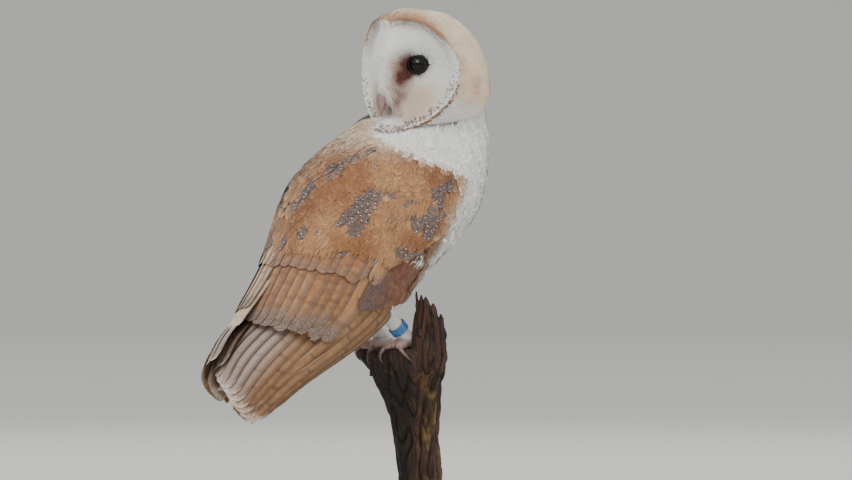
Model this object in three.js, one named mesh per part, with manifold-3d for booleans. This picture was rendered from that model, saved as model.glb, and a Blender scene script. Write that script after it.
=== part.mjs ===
// A barn owl, life size, on a cut length of dead branch that a plain display stand holds.
//
// Frame: millimetres, +Z up. The origin is the centre of the stand's underside. The trunk faces +X,
// the owl's left is +Y, and the head is turned back over the right shoulder.
//
// The plumage is one tapering envelope from the neck to the wing tips. Each of its sections joins a
// point of the back line to a point of the belly line. The folded wings are curved plates that lie on
// the envelope, and the trunk is the envelope with the wings' places cut out of it.
import * as THREE from "three";
import Module from "manifold-3d";
import { mergeVertices } from "three/addons/utils/BufferGeometryUtils.js";

const wasm = await Module();
wasm.setup();

// ---------------------------------------------------------------- driving dimensions, in mm and degrees
const GAP = 0.45; // clearance left between touching solids
const FINENESS = 0.1; // details smaller than this are dropped from the carved solids
const FOOT_Z = 166; // level of the wood under the toes

const HEAD = {
  centre: new THREE.Vector3(14, -4, 389),
  yaw: -165, // the face points back over the right shoulder
  ridge: 58.5, // feathered ridge between the eyes, ahead of the centre
  rimTop: 50.5, // upper edge of the facial disc at the forehead
  rimSide: 21.5, // edge of the facial disc beside the eyes
  chin: 45,
  halfWidth: 55,
  eyeAhead: 31.6,
  eyeSpread: 19.5,
  eyeHeight: 4.2,
  eyeRadius: 8.6,
};
// The back of the head is half an ellipsoid behind the facial disc.
const SKULL = { x: 14, z: -15, length: 65, halfWidth: 52, crown: 66, base: 35 };

const WING = {
  start: 0.13, // share of the envelope's length where the bend of the wing lies
  coversEnd: 0.52,
  secondaryEnd: 0.79,
  coverDepth: 9,
  secondaryDepth: 6,
  primaryDepth: 3.2,
  leftLift: 3.6, // the left wing's tip is carried this many degrees higher
  leftDrawnUp: 5, // and drawn forward and up by this much
};

const RING = { innerRadius: 6.6, outerRadius: 7.5, height: 6.4, along: 0.6, tilt: 4 };
const STAND = { baseX: 190, baseY: 150, baseHeight: 14, corner: 22, rodRadius: 6, rodTop: 50 };

// ---------------------------------------------------------------- colours
const paint = (hex, roughness = 0.85, metalness = 0) =>
  new THREE.MeshStandardMaterial({ color: hex, roughness, metalness });
const FINISH = {
  white: paint(0xe6e4dd),
  face: paint(0xeceae4),
  crown: paint(0xd9b98f),
  gold: paint(0xc48a55),
  flight: paint(0xc9a375),
  rufous: paint(0xa8653a),
  eye: paint(0x0b0909, 0.08),
  bill: paint(0xc9a6a0, 0.45),
  skin: paint(0xc79a8c, 0.6),
  claw: paint(0x6c5a5c, 0.35),
  ring: paint(0x1f6fb4, 0.4),
  wood: paint(0x4a3426, 0.95),
  stand: paint(0x2b2a29, 0.5),
  steel: paint(0x8d8f92, 0.35, 0.9),
};

// ---------------------------------------------------------------- small maths
const V = (x, y, z) => new THREE.Vector3(x, y, z);
const rad = THREE.MathUtils.degToRad;
const lerp = THREE.MathUtils.lerp;
const clamp = THREE.MathUtils.clamp;
const smooth = THREE.MathUtils.smoothstep;
const bump = (x, centre, width) => Math.exp(-(((x - centre) / width) ** 2));

// A smooth value through evenly spaced stations, t from 0 to 1.
function stations(values) {
  const curve = new THREE.CatmullRomCurve3(values.map((v, i) => V(v, i, 0)));
  return (t) => curve.getPoint(clamp(t, 0, 1)).x;
}

// ---------------------------------------------------------------- meshes and solids
// An indexed geometry whose faces are turned to point outwards.
function closed(points, faces) {
  let volume = 0;
  for (const [a, b, c] of faces) {
    volume += points[a].dot(points[b].clone().cross(points[c]));
  }
  const index = volume < 0 ? faces.flatMap(([a, b, c]) => [a, c, b]) : faces.flat();
  const geometry = new THREE.BufferGeometry();
  geometry.setAttribute("position", new THREE.Float32BufferAttribute(points.flatMap((p) => p.toArray()), 3));
  geometry.setIndex(index);
  return geometry;
}

// Joins rings of equal count into a closed body with fanned ends.
function skinRings(rings) {
  const count = rings[0].length;
  const points = rings.flat();
  const faces = [];
  for (let r = 0; r + 1 < rings.length; r++) {
    for (let i = 0; i < count; i++) {
      const j = (i + 1) % count;
      const [a, b] = [r * count + i, r * count + j];
      faces.push([a, b, b + count], [a, b + count, a + count]);
    }
  }
  const cap = (offset, flip) => {
    const centre = points.length;
    const middle = V(0, 0, 0);
    for (let i = 0; i < count; i++) middle.addScaledVector(points[offset + i], 1 / count);
    points.push(middle);
    for (let i = 0; i < count; i++) {
      const [a, b] = [offset + i, offset + ((i + 1) % count)];
      faces.push(flip ? [centre, b, a] : [centre, a, b]);
    }
  };
  cap(0, true);
  cap((rings.length - 1) * count, false);
  return closed(points, faces);
}

// A curved slab between an outer and an inner grid of points.
function slab(outer, inner) {
  const rows = outer.length;
  const columns = outer[0].length;
  const size = rows * columns;
  const points = [...outer.flat(), ...inner.flat()];
  const faces = [];
  const at = (r, c) => r * columns + c;
  for (let r = 0; r + 1 < rows; r++) {
    for (let c = 0; c + 1 < columns; c++) {
      const [a, b, d, e] = [at(r, c), at(r, c + 1), at(r + 1, c + 1), at(r + 1, c)];
      faces.push([a, b, d], [a, d, e]);
      faces.push([a + size, d + size, b + size], [a + size, e + size, d + size]);
    }
  }
  const wall = (a, b) => faces.push([a, a + size, b + size], [a, b + size, b]);
  for (let c = 0; c + 1 < columns; c++) {
    wall(at(0, c), at(0, c + 1));
    wall(at(rows - 1, c + 1), at(rows - 1, c));
  }
  for (let r = 0; r + 1 < rows; r++) {
    wall(at(r + 1, 0), at(r, 0));
    wall(at(r, columns - 1), at(r + 1, columns - 1));
  }
  return closed(points, faces);
}

// A round tube of changing radius along a curve. A grown one is the room that the plain one lies in.
function taperedTube(curve, radiusAt, steps, sides, grow = 0) {
  const frames = curve.computeFrenetFrames(steps, false);
  const rings = [];
  for (let s = 0; s <= steps; s++) {
    const end = s === 0 ? -1 : s === steps ? 1 : 0;
    const centre = curve.getPointAt(s / steps).addScaledVector(frames.tangents[s], end * grow);
    const radius = radiusAt(s / steps) + grow;
    rings.push(
      Array.from({ length: sides }, (_, i) => {
        const angle = (2 * Math.PI * i) / sides;
        return centre
          .clone()
          .addScaledVector(frames.normals[s], radius * Math.cos(angle))
          .addScaledVector(frames.binormals[s], radius * Math.sin(angle));
      }),
    );
  }
  return skinRings(rings);
}

function solidOf(geometry) {
  const bare = geometry.clone();
  bare.deleteAttribute("normal");
  bare.deleteAttribute("uv");
  const merged = mergeVertices(bare, 1e-3);
  return new wasm.Manifold(
    new wasm.Mesh({
      numProp: 3,
      vertProperties: merged.attributes.position.array,
      triVerts: new Uint32Array(merged.index.array),
    }),
  );
}

function geometryOf(solid) {
  const mesh = solid.getMesh();
  const geometry = new THREE.BufferGeometry();
  geometry.setAttribute("position", new THREE.Float32BufferAttribute(mesh.vertProperties, 3));
  geometry.setIndex(new THREE.BufferAttribute(mesh.triVerts, 1));
  return geometry;
}

// The geometry with each cutter taken away, keeping the largest body that is left.
function carve(geometry, ...cutters) {
  let solid = solidOf(geometry);
  for (const cutter of cutters) solid = solid.subtract(solidOf(cutter));
  const bodies = solid.simplify(FINENESS).decompose();
  return geometryOf(bodies.sort((a, b) => b.volume() - a.volume())[0]);
}

// ---------------------------------------------------------------- the envelope of the plumage
// Stations run from the neck to the wing tips: back line, belly line, half width, and how far the
// section is shifted to the left.
const BODY = {
  backX: stations([-34, -53, -79, -102, -114, -122, -132, -144, -156, -170, -186]),
  backZ: stations([354, 341, 323, 302, 280, 256, 232, 208, 184, 155, 124]),
  bellyX: stations([63, 65, 62.5, 55, 39.5, 13, -10, -18, -54, -106, -148]),
  bellyZ: stations([373, 339, 309, 283, 259, 236, 211, 193, 167, 136, 104]),
  width: stations([38, 46, 56, 60, 61, 60, 56, 50, 42, 33, 22]),
  shift: stations([6, 4, 2, 0, 0, 0, 0, 0, 0, 0, 0]),
  squareness: 2.25,
};

// A point of the envelope. Turn 0 is the back, 90 the right side and 180 the belly; inset goes inwards.
function envelope(t, turn, inset = 0) {
  const back = V(BODY.backX(t), 0, BODY.backZ(t));
  const belly = V(BODY.bellyX(t), 0, BODY.bellyZ(t));
  const length = back.distanceTo(belly);
  const up = back.clone().sub(belly).divideScalar(length);
  const centre = belly.clone().lerp(back, 0.5);
  const [c, s] = [Math.cos(rad(turn)), Math.sin(rad(turn))];
  const power = 2 / BODY.squareness;
  const along = Math.sign(c) * Math.abs(c) ** power;
  const across = Math.sign(s) * Math.abs(s) ** power;
  const height = Math.max(length / 2 - inset, 0.5);
  const width = Math.max(BODY.width(t) - inset, 0.5);
  return centre
    .addScaledVector(up, height * along)
    .add(V(0, BODY.shift(t) - width * across, 0));
}

function envelopeRing(t, count, inset = 0) {
  return Array.from({ length: count }, (_, i) => envelope(t, (360 * i) / count, inset));
}

// ---------------------------------------------------------------- folded wings
// Turn of the wing's leading edge, of the edge of the coverts above it, and of its inner edge.
const leadingEdge = (t) => 109 + 8 * smooth(t, 0.18, 0.3) + 22 * smooth(t, 0.42, 0.56) + 4 * smooth(t, 0.72, 0.95);
const coverEdge = (t) => lerp(leadingEdge(t), 90, smooth(t, 0.36, 0.58));
const innerEdge = (t) => lerp(52, 0.25, smooth(t, 0.2, 0.46));
const primaryInner = (t) => lerp(innerEdge(t) + 0.4, 32, smooth(t, 0.66, 0.86));

// One layer of a wing: a slab over a patch of the envelope. side is -1 for right and 1 for left.
// A grown layer is the room the plain one lies in, and reach opens that room outwards.
function wingLayer(side, layer, grow = 0, reach = 0) {
  const { from, to, inner, outer, top, depth, rows, columns, rounded = 0 } = layer;
  const grid = (inset) =>
    Array.from({ length: rows + 1 }, (_, r) =>
      Array.from({ length: columns + 1 }, (_, c) => {
        const v = c / columns;
        const share = r / rows;
        const t = lerp(from(v), to(v), share);
        const middle = (inner(t) + outer(t)) / 2;
        const narrow = rounded ? Math.sqrt(clamp((share + 0.02) / rounded, 0, 1)) : 1;
        const half = ((outer(t) - inner(t)) / 2) * narrow + grow;
        const end = r === 0 ? -1 : r === rows ? 1 : 0;
        const grownT = t + 0.004 * end * grow;
        return placeWing(side, envelope(grownT, middle + half * (2 * v - 1), inset(t, v, share)), t);
      }),
    );
  const outerGrid = grid((t, v) => top(t, v) - grow - reach);
  const innerGrid = grid((t, v, share) => top(t, v) + depth(v, share) + grow);
  return slab(outerGrid, innerGrid);
}

// The hollow that a whole wing lies in.
const HOLLOW = {
  from: () => WING.start - 0.012,
  to: () => 0.98,
  inner: (t) => innerEdge(t) - 3,
  outer: (t) => leadingEdge(t) + 4,
  top: () => 0,
  depth: (v, share) => WING.coverDepth + 2 + 5.5 * smooth(share, 0.25, 0.32),
  rows: 12,
  columns: 6,
  rounded: 0.13,
};
const wingHollow = (side) => wingLayer(side, HOLLOW, 0, ROOM_REACH);

// The right wing lies as the envelope does. The left one is mirrored and lifted behind the wrist.
function placeWing(side, point, t) {
  if (side < 0) return point;
  const angle = rad(WING.leftLift) * smooth(t, 0.5, 0.95);
  const [x, z] = [point.x - 10, point.z - 300];
  const drawnUp = WING.leftDrawnUp * smooth(t, 0.5, 0.95);
  return V(
    10 + x * Math.cos(angle) + z * Math.sin(angle) + drawnUp,
    -point.y,
    300 + z * Math.cos(angle) - x * Math.sin(angle) + drawnUp,
  );
}

const ROOM_REACH = 15;

// Rounded feather ends along an edge: 0 between two feathers and 1 at each one's tip.
const scallop = (v, count) => Math.sqrt(Math.max(0, 1 - (2 * ((v * count) % 1) - 1) ** 2));

const padded = (depth) => (v, share) => lerp(1.2, depth, Math.min(1, 5 * Math.min(v, 1 - v), 0.25 + 4 * share));
const LAYERS = {
  coverts: {
    from: () => WING.start,
    to: () => WING.coversEnd,
    inner: innerEdge,
    outer: coverEdge,
    top: () => 0,
    depth: padded(WING.coverDepth),
    rows: 8,
    columns: 7,
    rounded: 0.3,
  },
  secondaries: {
    from: () => WING.coversEnd + 0.005,
    to: (v) => WING.secondaryEnd - 0.045 * (1 - v) ** 2 + 0.014 * scallop(v, 5),
    inner: innerEdge,
    outer: coverEdge,
    top: () => 1.2,
    depth: (v) => lerp(2.2, WING.secondaryDepth, Math.min(1, 6 * Math.min(v, 1 - v))),
    rows: 3,
    columns: 15,
  },
  primary_coverts: {
    from: () => 0.46,
    to: (v) => 0.69 - 0.05 * v + 0.012 * scallop(v, 3),
    inner: (t) => coverEdge(t) - lerp(7, 4, smooth(t, 0.45, 0.55)),
    outer: leadingEdge,
    top: (t, v) => lerp(5.4, 0.8, smooth(v, 0.25, 0.75)),
    depth: () => 4,
    rows: 5,
    columns: 6,
  },
  primaries: {
    from: () => 0.56,
    to: (v) => 0.945 + 0.055 * smooth(v, 0, 0.3) - 0.012 * (1 - scallop(v, 5)),
    inner: primaryInner,
    outer: leadingEdge,
    top: (t, v) => lerp(lerp(11.4, 2.5, smooth(t, 0.75, 0.9)), lerp(5.6, 1.5, smooth(t, 0.68, 0.8)), smooth(v, 0.7, 0.95)),
    depth: () => WING.primaryDepth,
    rows: 6,
    columns: 15,
  },
};

// ---------------------------------------------------------------- head, in its own frame: +X forward, +Y left
// Outline of the heart-shaped disc: angle 0 is the left, 90 the top, and the point is [y, z].
function discOutline(angle) {
  const [c, s] = [Math.cos(angle), Math.sin(angle)];
  if (s <= 0) return [HEAD.halfWidth * c * (1 - 0.05 * s * s), 48 * s];
  const squared = HEAD.halfWidth * Math.sign(c) * Math.abs(c) ** 0.75;
  const y = squared * (1 - 0.075 * Math.sin(2 * angle) ** 2);
  return [y, 42 * s ** 0.92 - 6 * bump(y, 0, 8)];
}

// How far ahead of the head's centre the edge of the disc stands.
const rimAhead = (y, z) => {
  const side = Math.abs(y) / HEAD.halfWidth;
  return lerp(z < 0 ? HEAD.chin : HEAD.rimTop, HEAD.rimSide, side ** 1.15);
};

// The face: a broad ridge between the eyes, and a bowl on each side that opens to the rim.
function faceAhead(y, z, rho) {
  const side = Math.abs(y) / HEAD.halfWidth;
  const disc = lerp(44.5, 22, side ** 0.9) - 3 * bump(side, 0.7, 0.22) * bump(z, -2, 28);
  const crest = lerp(40, HEAD.ridge, smooth(z, -40, -8)) - 9 * smooth(z, 4, 40) - 0.035 * y * y;
  const half = 18 - 8 * smooth(z, 10, 36) - 9 * smooth(-z, 4, 26);
  const bowl = lerp(disc, crest, Math.exp(-((Math.abs(y) / half) ** 5)));
  return lerp(bowl, rimAhead(y, z), smooth(rho, 0.8, 1));
}

// Rings 0 to 1 cover the face from its middle to the rim, and 1 to 2 the rest back to the nape.
function headPoint(angle, ring) {
  const [y, z] = discOutline(angle);
  if (ring <= 1) return V(faceAhead(y * ring, z * ring, ring), y * ring, z * ring);
  const around = rad((ring - 1) * 90);
  const [c, s] = [Math.cos(around), Math.sin(around)];
  const height = Math.sin(angle) > 0 ? SKULL.crown : SKULL.base;
  const round = smooth(ring, 1, 1.12);
  return V(
    lerp(rimAhead(y, z), SKULL.x - SKULL.length * s, smooth(ring, 1, 1.22)),
    lerp(y, SKULL.halfWidth * Math.cos(angle) * c, round),
    lerp(z, SKULL.z + height * Math.sin(angle) * c, round),
  );
}

const HEAD_COUNT = 32;
const evenly = (from, to, steps) => Array.from({ length: steps + 1 }, (_, i) => lerp(from, to, i / steps));
const FACE_RINGS = evenly(0.05, 1.05, 7);
const REAR_RINGS = evenly(1.068, 1.97, 7);
const headRing = (ring) =>
  Array.from({ length: HEAD_COUNT }, (_, i) => headPoint((2 * Math.PI * i) / HEAD_COUNT, ring));

// The face and the rest of the head are parted just behind the rim, and the joint is let in.
const joint = (ring, back, share) => headRing(ring).map((p) => V(p.x - back, share * p.y, share * p.z));
const faceBody = () => skinRings([...FACE_RINGS.map(headRing), joint(FACE_RINGS.at(-1), 20, 0.7)]);
const rearBody = () => skinRings([joint(REAR_RINGS[0], 21.5, 0.74), ...REAR_RINGS.map(headRing)]);
function headRoom() {
  const rings = [...FACE_RINGS, ...REAR_RINGS].map(headRing);
  return skinRings(rings.map((ring) => ring.map((p) => p.multiplyScalar(1 + GAP / 20))));
}

function eyeBall(side, grow = 0) {
  const ball = new THREE.SphereGeometry(HEAD.eyeRadius + grow, 12, 8);
  return ball.translate(HEAD.eyeAhead, side * HEAD.eyeSpread, HEAD.eyeHeight);
}

// The bill: a hooked wedge, out of the bristles below the ridge.
function billBody(upper, grow = 0) {
  const curve = upper
    ? new THREE.CatmullRomCurve3([V(44, 0, -13), V(52.5, 0, -18), V(55.5, 0, -27), V(54, 0, -37)])
    : new THREE.CatmullRomCurve3([V(41, 0, -24), V(47.5, 0, -29), V(51, 0, -34)]);
  const thick = upper ? [5.4, 4.9, 3.4, 0.5] : [4, 3.2, 1.1];
  return taperedTube(curve, stations(thick), 7, 8, grow).scale(1, 0.86, 1);
}

// ---------------------------------------------------------------- legs
const HIP = (side) => V(-48, side * 25, 226);
const HEEL = (side) => V(-36, side * 20, 197);
const ANKLE = (side) => V(-15, side * 18.5, 175);

function thighBody(side, grow = 0) {
  const curve = new THREE.CatmullRomCurve3([HIP(side), V(-41, side * 23, 210), V(-33, side * 20.5, 194.5)]);
  return taperedTube(curve, stations([24, 21, 15.5, 8.6]), 6, 12, grow);
}

function tarsusBody(side, grow = 0) {
  const curve = new THREE.LineCurve3(HEEL(side).lerp(ANKLE(side), -0.2), ANKLE(side));
  return taperedTube(curve, stations([6, 5.8, 5.7, 5.7, 6.4]), 5, 10, grow);
}

// A flat band, loose on the right tarsus and resting a little askew.
function legRing() {
  const { innerRadius, outerRadius, height, along, tilt } = RING;
  const profile = [
    [innerRadius, -height / 2],
    [outerRadius, -height / 2],
    [outerRadius, height / 2],
    [innerRadius, height / 2],
    [innerRadius, -height / 2],
  ].map(([r, h]) => new THREE.Vector2(r, h));
  const band = new THREE.LatheGeometry(profile, 22);
  const axis = HEEL(-1).sub(ANKLE(-1)).normalize();
  band.applyQuaternion(new THREE.Quaternion().setFromUnitVectors(V(0, 1, 0), axis));
  band.applyQuaternion(new THREE.Quaternion().setFromAxisAngle(VIEW_DEEP, rad(-tilt)));
  const centre = HEEL(-1).lerp(ANKLE(-1), along);
  return band.translate(centre.x, centre.y, centre.z);
}

// Toes of one foot: points from the ankle outwards, then the claw that follows. Offsets are from the
// ankle, and y is mirrored for the left foot, whose outward side is +y. Each foot is then turned.
const FOOT_TURN = { "-1": -8, 1: 28 };
const TOES = [
  { name: "hind", joints: [[-6, 0, -4], [-14, 0, -4.8], [-20, 0, -7]], claw: [[-23.5, 0, -12], [-22, 1, -18.5], [-16, 1.5, -21]] },
  { name: "outer", joints: [[-5, 5, -4], [-11, 11, -4.8], [-13, 15, -6]], claw: [[-12.5, 19, -9], [-8.5, 20.5, -14], [-3.5, 20, -18]] },
  { name: "middle", joints: [[6, 3, -4], [17, 6, -4.8], [25, 8, -7]], claw: [[29, 9, -11], [30, 9, -17], [26, 8.5, -22]] },
  { name: "inner", joints: [[6, -3, -4], [16, -7, -4.8], [23, -9.5, -7]], claw: [[27, -10.5, -11], [27.5, -10.5, -17], [23, -9.5, -21.5]] },
];

const fromAnkle = (side) => (offset) =>
  ANKLE(side).add(V(offset[0], side * offset[1], offset[2]).applyAxisAngle(V(0, 0, 1), rad(FOOT_TURN[side])));

function toeBody(side, toe, grow = 0) {
  const place = fromAnkle(side);
  const curve = new THREE.CatmullRomCurve3([ANKLE(side).add(V(0, 0, -2.5)), ...toe.joints.map(place)]);
  return taperedTube(curve, stations([4.6, 4.4, 4, 4.2, 3.4, 3.6, 2.5]), 4, 6, grow);
}

function clawBody(side, toe, grow = 0) {
  const place = fromAnkle(side);
  const last = place(toe.joints[2]);
  const back = place(toe.joints[1]);
  const start = last.clone().lerp(back, 0.12);
  const curve = new THREE.CatmullRomCurve3([start, last.clone().lerp(place(toe.claw[0]), 0.45), ...toe.claw.map(place)]);
  return taperedTube(curve, stations([2, 1.9, 1.7, 1.3, 0.9, 0.4]), 6, 5, grow);
}

// ---------------------------------------------------------------- tail
const TAIL = {
  base: V(-108, 0, 212),
  tip: V(-168, 0, 131),
  baseHalf: 15,
  tipHalf: 24,
  depth: 4.4,
  feathers: 6,
  rows: 5,
  columns: 12,
};

function tailBody(grow = 0) {
  const down = TAIL.tip.clone().sub(TAIL.base).normalize();
  const normal = V(down.z, 0, -down.x); // towards the back
  const length = TAIL.base.distanceTo(TAIL.tip);
  const grid = (offset) =>
    Array.from({ length: TAIL.rows + 1 }, (_, r) =>
      Array.from({ length: TAIL.columns + 1 }, (_, c) => {
        const share = r / TAIL.rows;
        const across = (2 * c) / TAIL.columns - 1;
        const reach = length * (1 - 0.06 * across ** 2) - 2.5 * (1 - scallop(c / TAIL.columns, TAIL.feathers));
        const half = lerp(TAIL.baseHalf, TAIL.tipHalf, share ** 0.7) + grow;
        const crown = 5 * (1 - across ** 2);
        return TAIL.base
          .clone()
          .addScaledVector(down, share * reach + (r === 0 ? -grow : r === TAIL.rows ? grow : 0))
          .addScaledVector(normal, crown - offset * lerp(1, 0.35, share))
          .add(V(0, half * across, 0));
      }),
    );
  return slab(grid(-2 * grow), grid(TAIL.depth + 2 * grow));
}

// ---------------------------------------------------------------- perch: a broken dead branch
// Rough rings: base radius along and across the view, with grooves that run up the wood.
function barkRing(centre, along, across, lean, count, seed) {
  return Array.from({ length: count }, (_, i) => {
    const a = (2 * Math.PI * i) / count;
    const groove = 1 + 0.055 * Math.sin(5 * a + seed) + 0.035 * Math.sin(11 * a + 2.3 * seed);
    const u = along * Math.cos(a) * groove;
    const v = across * Math.sin(a) * groove;
    return V(
      centre.x + u * VIEW_RIGHT.x + v * VIEW_DEEP.x,
      centre.y + u * VIEW_RIGHT.y + v * VIEW_DEEP.y,
      centre.z + lean * u,
    );
  });
}
const PERCH_TURN = -30; // the branch's flat side is turned this far from +X
const VIEW_RIGHT = V(Math.cos(rad(PERCH_TURN)), Math.sin(rad(PERCH_TURN)), 0);
const VIEW_DEEP = V(-VIEW_RIGHT.y, VIEW_RIGHT.x, 0);
const onPerch = (right, deep, z) => V(0, 0, z).addScaledVector(VIEW_RIGHT, right).addScaledVector(VIEW_DEEP, deep);

function perchBody() {
  const trunk = [
    // right, deep, z, along, across, lean
    [8, 0, 50.3, 17, 17, 0],
    [6.5, 0, 66, 17.5, 17.5, 0],
    [3, 0, 92, 18.5, 19, 0],
    [1.5, -1, 110, 20, 22, 0],
    [-1, -3, 126, 23, 27, 0],
    [-4, -5, 140, 27, 33, 0],
    [-5, -6, 152, 29.5, 36, 0],
    [-6, -6, 161, 29, 36, 0],
    [-6, -6, FOOT_Z + 0.8, 26, 33, 0],
  ].map(([right, deep, z, along, across, lean], i) =>
    barkRing(onPerch(right, deep, z), along, across, lean, 18, 0.5 + 0.23 * i),
  );
  const spike = [
    [6, -12, 118, 11, 12, 0],
    [8, -17, 134, 15.5, 13, 0],
    [12, -26, 152, 15, 14, 0],
    [13.5, -31, 168, 14.5, 10, 0],
    [13.5, -32, 182, 14, 8.5, 0],
    [13.5, -32, 193, 13, 8, -0.1],
    [12, -32, 202, 11, 7.5, -0.35],
    [8.5, -32, 209, 7.5, 6, -0.5],
    [5.5, -32, 213, 3.6, 3.6, -0.5],
  ].map(([right, deep, z, along, across, lean], i) =>
    barkRing(onPerch(right, deep, z), along, across, lean, 12, 1.4 + 0.3 * i),
  );
  const spur = [
    [-20, 12, 152, 13, 0.5],
    [-30, 17, 158, 10, 0.5],
    [-39, 21, 164.5, 7, 0.5],
    [-45, 24, 169, 4.2, 0.5],
  ].map(([right, deep, z, size]) =>
    Array.from({ length: 8 }, (_, i) => {
      const a = (2 * Math.PI * i) / 8;
      return onPerch(right + 0.5 * size * Math.sin(a), deep + size * Math.cos(a), z + 0.8 * size * Math.sin(a));
    }),
  );
  const solid = solidOf(skinRings(trunk)).add(solidOf(skinRings(spike))).add(solidOf(skinRings(spur)));
  return geometryOf(solid);
}

// ---------------------------------------------------------------- display stand
function standBase() {
  const { baseX, baseY, baseHeight, corner } = STAND;
  const [x, y] = [baseX / 2, baseY / 2];
  const plan = new THREE.Shape();
  plan.moveTo(-x + corner, -y);
  plan.lineTo(x - corner, -y);
  plan.absarc(x - corner, -y + corner, corner, -Math.PI / 2, 0);
  plan.absarc(x - corner, y - corner, corner, 0, Math.PI / 2);
  plan.absarc(-x + corner, y - corner, corner, Math.PI / 2, Math.PI);
  plan.absarc(-x + corner, -y + corner, corner, Math.PI, 1.5 * Math.PI);
  return new THREE.ExtrudeGeometry(plan, { depth: baseHeight, bevelEnabled: false, curveSegments: 5 });
}

function standRod() {
  const foot = onPerch(8, 0, 0);
  const height = STAND.rodTop - STAND.baseHeight - GAP;
  const rod = new THREE.CylinderGeometry(STAND.rodRadius, STAND.rodRadius, height, 20);
  return rod.rotateX(Math.PI / 2).translate(foot.x, foot.y, STAND.baseHeight + GAP + height / 2);
}

// ---------------------------------------------------------------- the object
const owl = new THREE.Group();
const head = new THREE.Group();
head.position.copy(HEAD.centre);
head.rotation.z = rad(HEAD.yaw);
owl.add(head);

const SIDES = [
  ["right", -1],
  ["left", 1],
];

owl.updateMatrixWorld(true);
const inRow = (geometry) => geometry.applyMatrix4(head.matrixWorld);

// Face and head, parted just behind the rim of the disc, with the eyes and bill let in.
const piece = (parent, name, geometry, finish) => {
  const mesh = new THREE.Mesh(geometry, finish);
  mesh.name = name;
  parent.add(mesh);
};
const both = (makeOne) => SIDES.map(([word, side]) => makeOne(side, word));
const inlays = () => [...both((side) => eyeBall(side, GAP)), billBody(true, GAP), billBody(false, GAP)];
piece(head, "facial_disc", carve(faceBody(), ...inlays()), FINISH.face);
piece(head, "head", carve(rearBody(), faceBody().translate(-GAP, 0, 0)), FINISH.crown);
both((side, word) => piece(head, "eye_" + word, eyeBall(side), FINISH.eye));
piece(head, "bill_upper", billBody(true), FINISH.bill);
piece(head, "bill_lower", carve(billBody(false), billBody(true, GAP)), FINISH.bill);

// Wings and tail.
const LAYER_FINISH = {
  coverts: FINISH.gold,
  secondaries: FINISH.flight,
  primary_coverts: FINISH.rufous,
  primaries: FINISH.flight,
};
both((side, word) => {
  for (const [name, layer] of Object.entries(LAYERS)) {
    const body = wingLayer(side, layer);
    const above = name === "primary_coverts" ? [wingLayer(side, LAYERS.secondaries, GAP)] : [];
    piece(owl, `wing_${word}_${name}`, carve(body, ...above), LAYER_FINISH[name]);
  }
});
const primaryRooms = both((side) => wingLayer(side, LAYERS.primaries, GAP, ROOM_REACH));
piece(owl, "tail", carve(tailBody(), ...primaryRooms), FINISH.flight);

// Neck and trunk. The trunk is parted into the mantle, behind a sloping plane, and the breast.
const TRUNK = {
  backX: stations([-126, -128, -124, -114, -106]),
  backZ: stations([256, 232, 214, 203, 198]),
  bellyX: stations([14, -16, -44, -68, -84]),
  bellyZ: stations([236, 214, 200, 191, 188]),
  width: stations([60, 51, 41, 29, 15]),
};
function trunkEnd(share, count) {
  const back = V(TRUNK.backX(share), 0, TRUNK.backZ(share));
  const belly = V(TRUNK.bellyX(share), 0, TRUNK.bellyZ(share));
  const centre = back.clone().lerp(belly, 0.5);
  const half = back.sub(belly).multiplyScalar(0.5);
  const power = 2 / BODY.squareness;
  return Array.from({ length: count }, (_, i) => {
    const [c, s] = [Math.cos((2 * Math.PI * i) / count), Math.sin((2 * Math.PI * i) / count)];
    return centre
      .clone()
      .addScaledVector(half, Math.sign(c) * Math.abs(c) ** power)
      .add(V(0, -TRUNK.width(share) * Math.sign(s) * Math.abs(s) ** power, 0));
  });
}

const RING_COUNT = 24;
const NECK_END = 0.098;
const rings = (from, to, steps) => evenly(from, to, steps).map((t) => envelopeRing(t, RING_COUNT));
piece(owl, "neck", carve(skinRings(rings(0, NECK_END, 3)), inRow(headRoom())), FINISH.white);

// The thighs come out of the breast, which a plane parts from the mantle behind it.
const thighRooms = both((side) => thighBody(side, GAP));
const hollows = both(wingHollow);
both((side, word) => piece(owl, "thigh_" + word, carve(thighBody(side), ...hollows), FINISH.white));
const trunkRings = rings(NECK_END + 0.004, 0.49, 7);
for (let i = 0; i <= 4; i++) trunkRings.push(trunkEnd(i / 4, RING_COUNT));
const trunk = carve(skinRings(trunkRings), inRow(headRoom()), ...hollows, tailBody(GAP), ...thighRooms);
const MANTLE_PLANE = { point: V(-62, 0, 262), tilt: 27, size: 400 };
const halfSpace = (shift) =>
  new THREE.BoxGeometry(MANTLE_PLANE.size, MANTLE_PLANE.size, MANTLE_PLANE.size)
    .translate(MANTLE_PLANE.size / 2 + shift, 0, 0)
    .rotateY(rad(MANTLE_PLANE.tilt))
    .translate(MANTLE_PLANE.point.x, 0, MANTLE_PLANE.point.z);
piece(owl, "mantle", carve(trunk, halfSpace(-GAP)), FINISH.gold);
piece(owl, "breast", carve(trunk, halfSpace(-MANTLE_PLANE.size)), FINISH.white);

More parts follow.
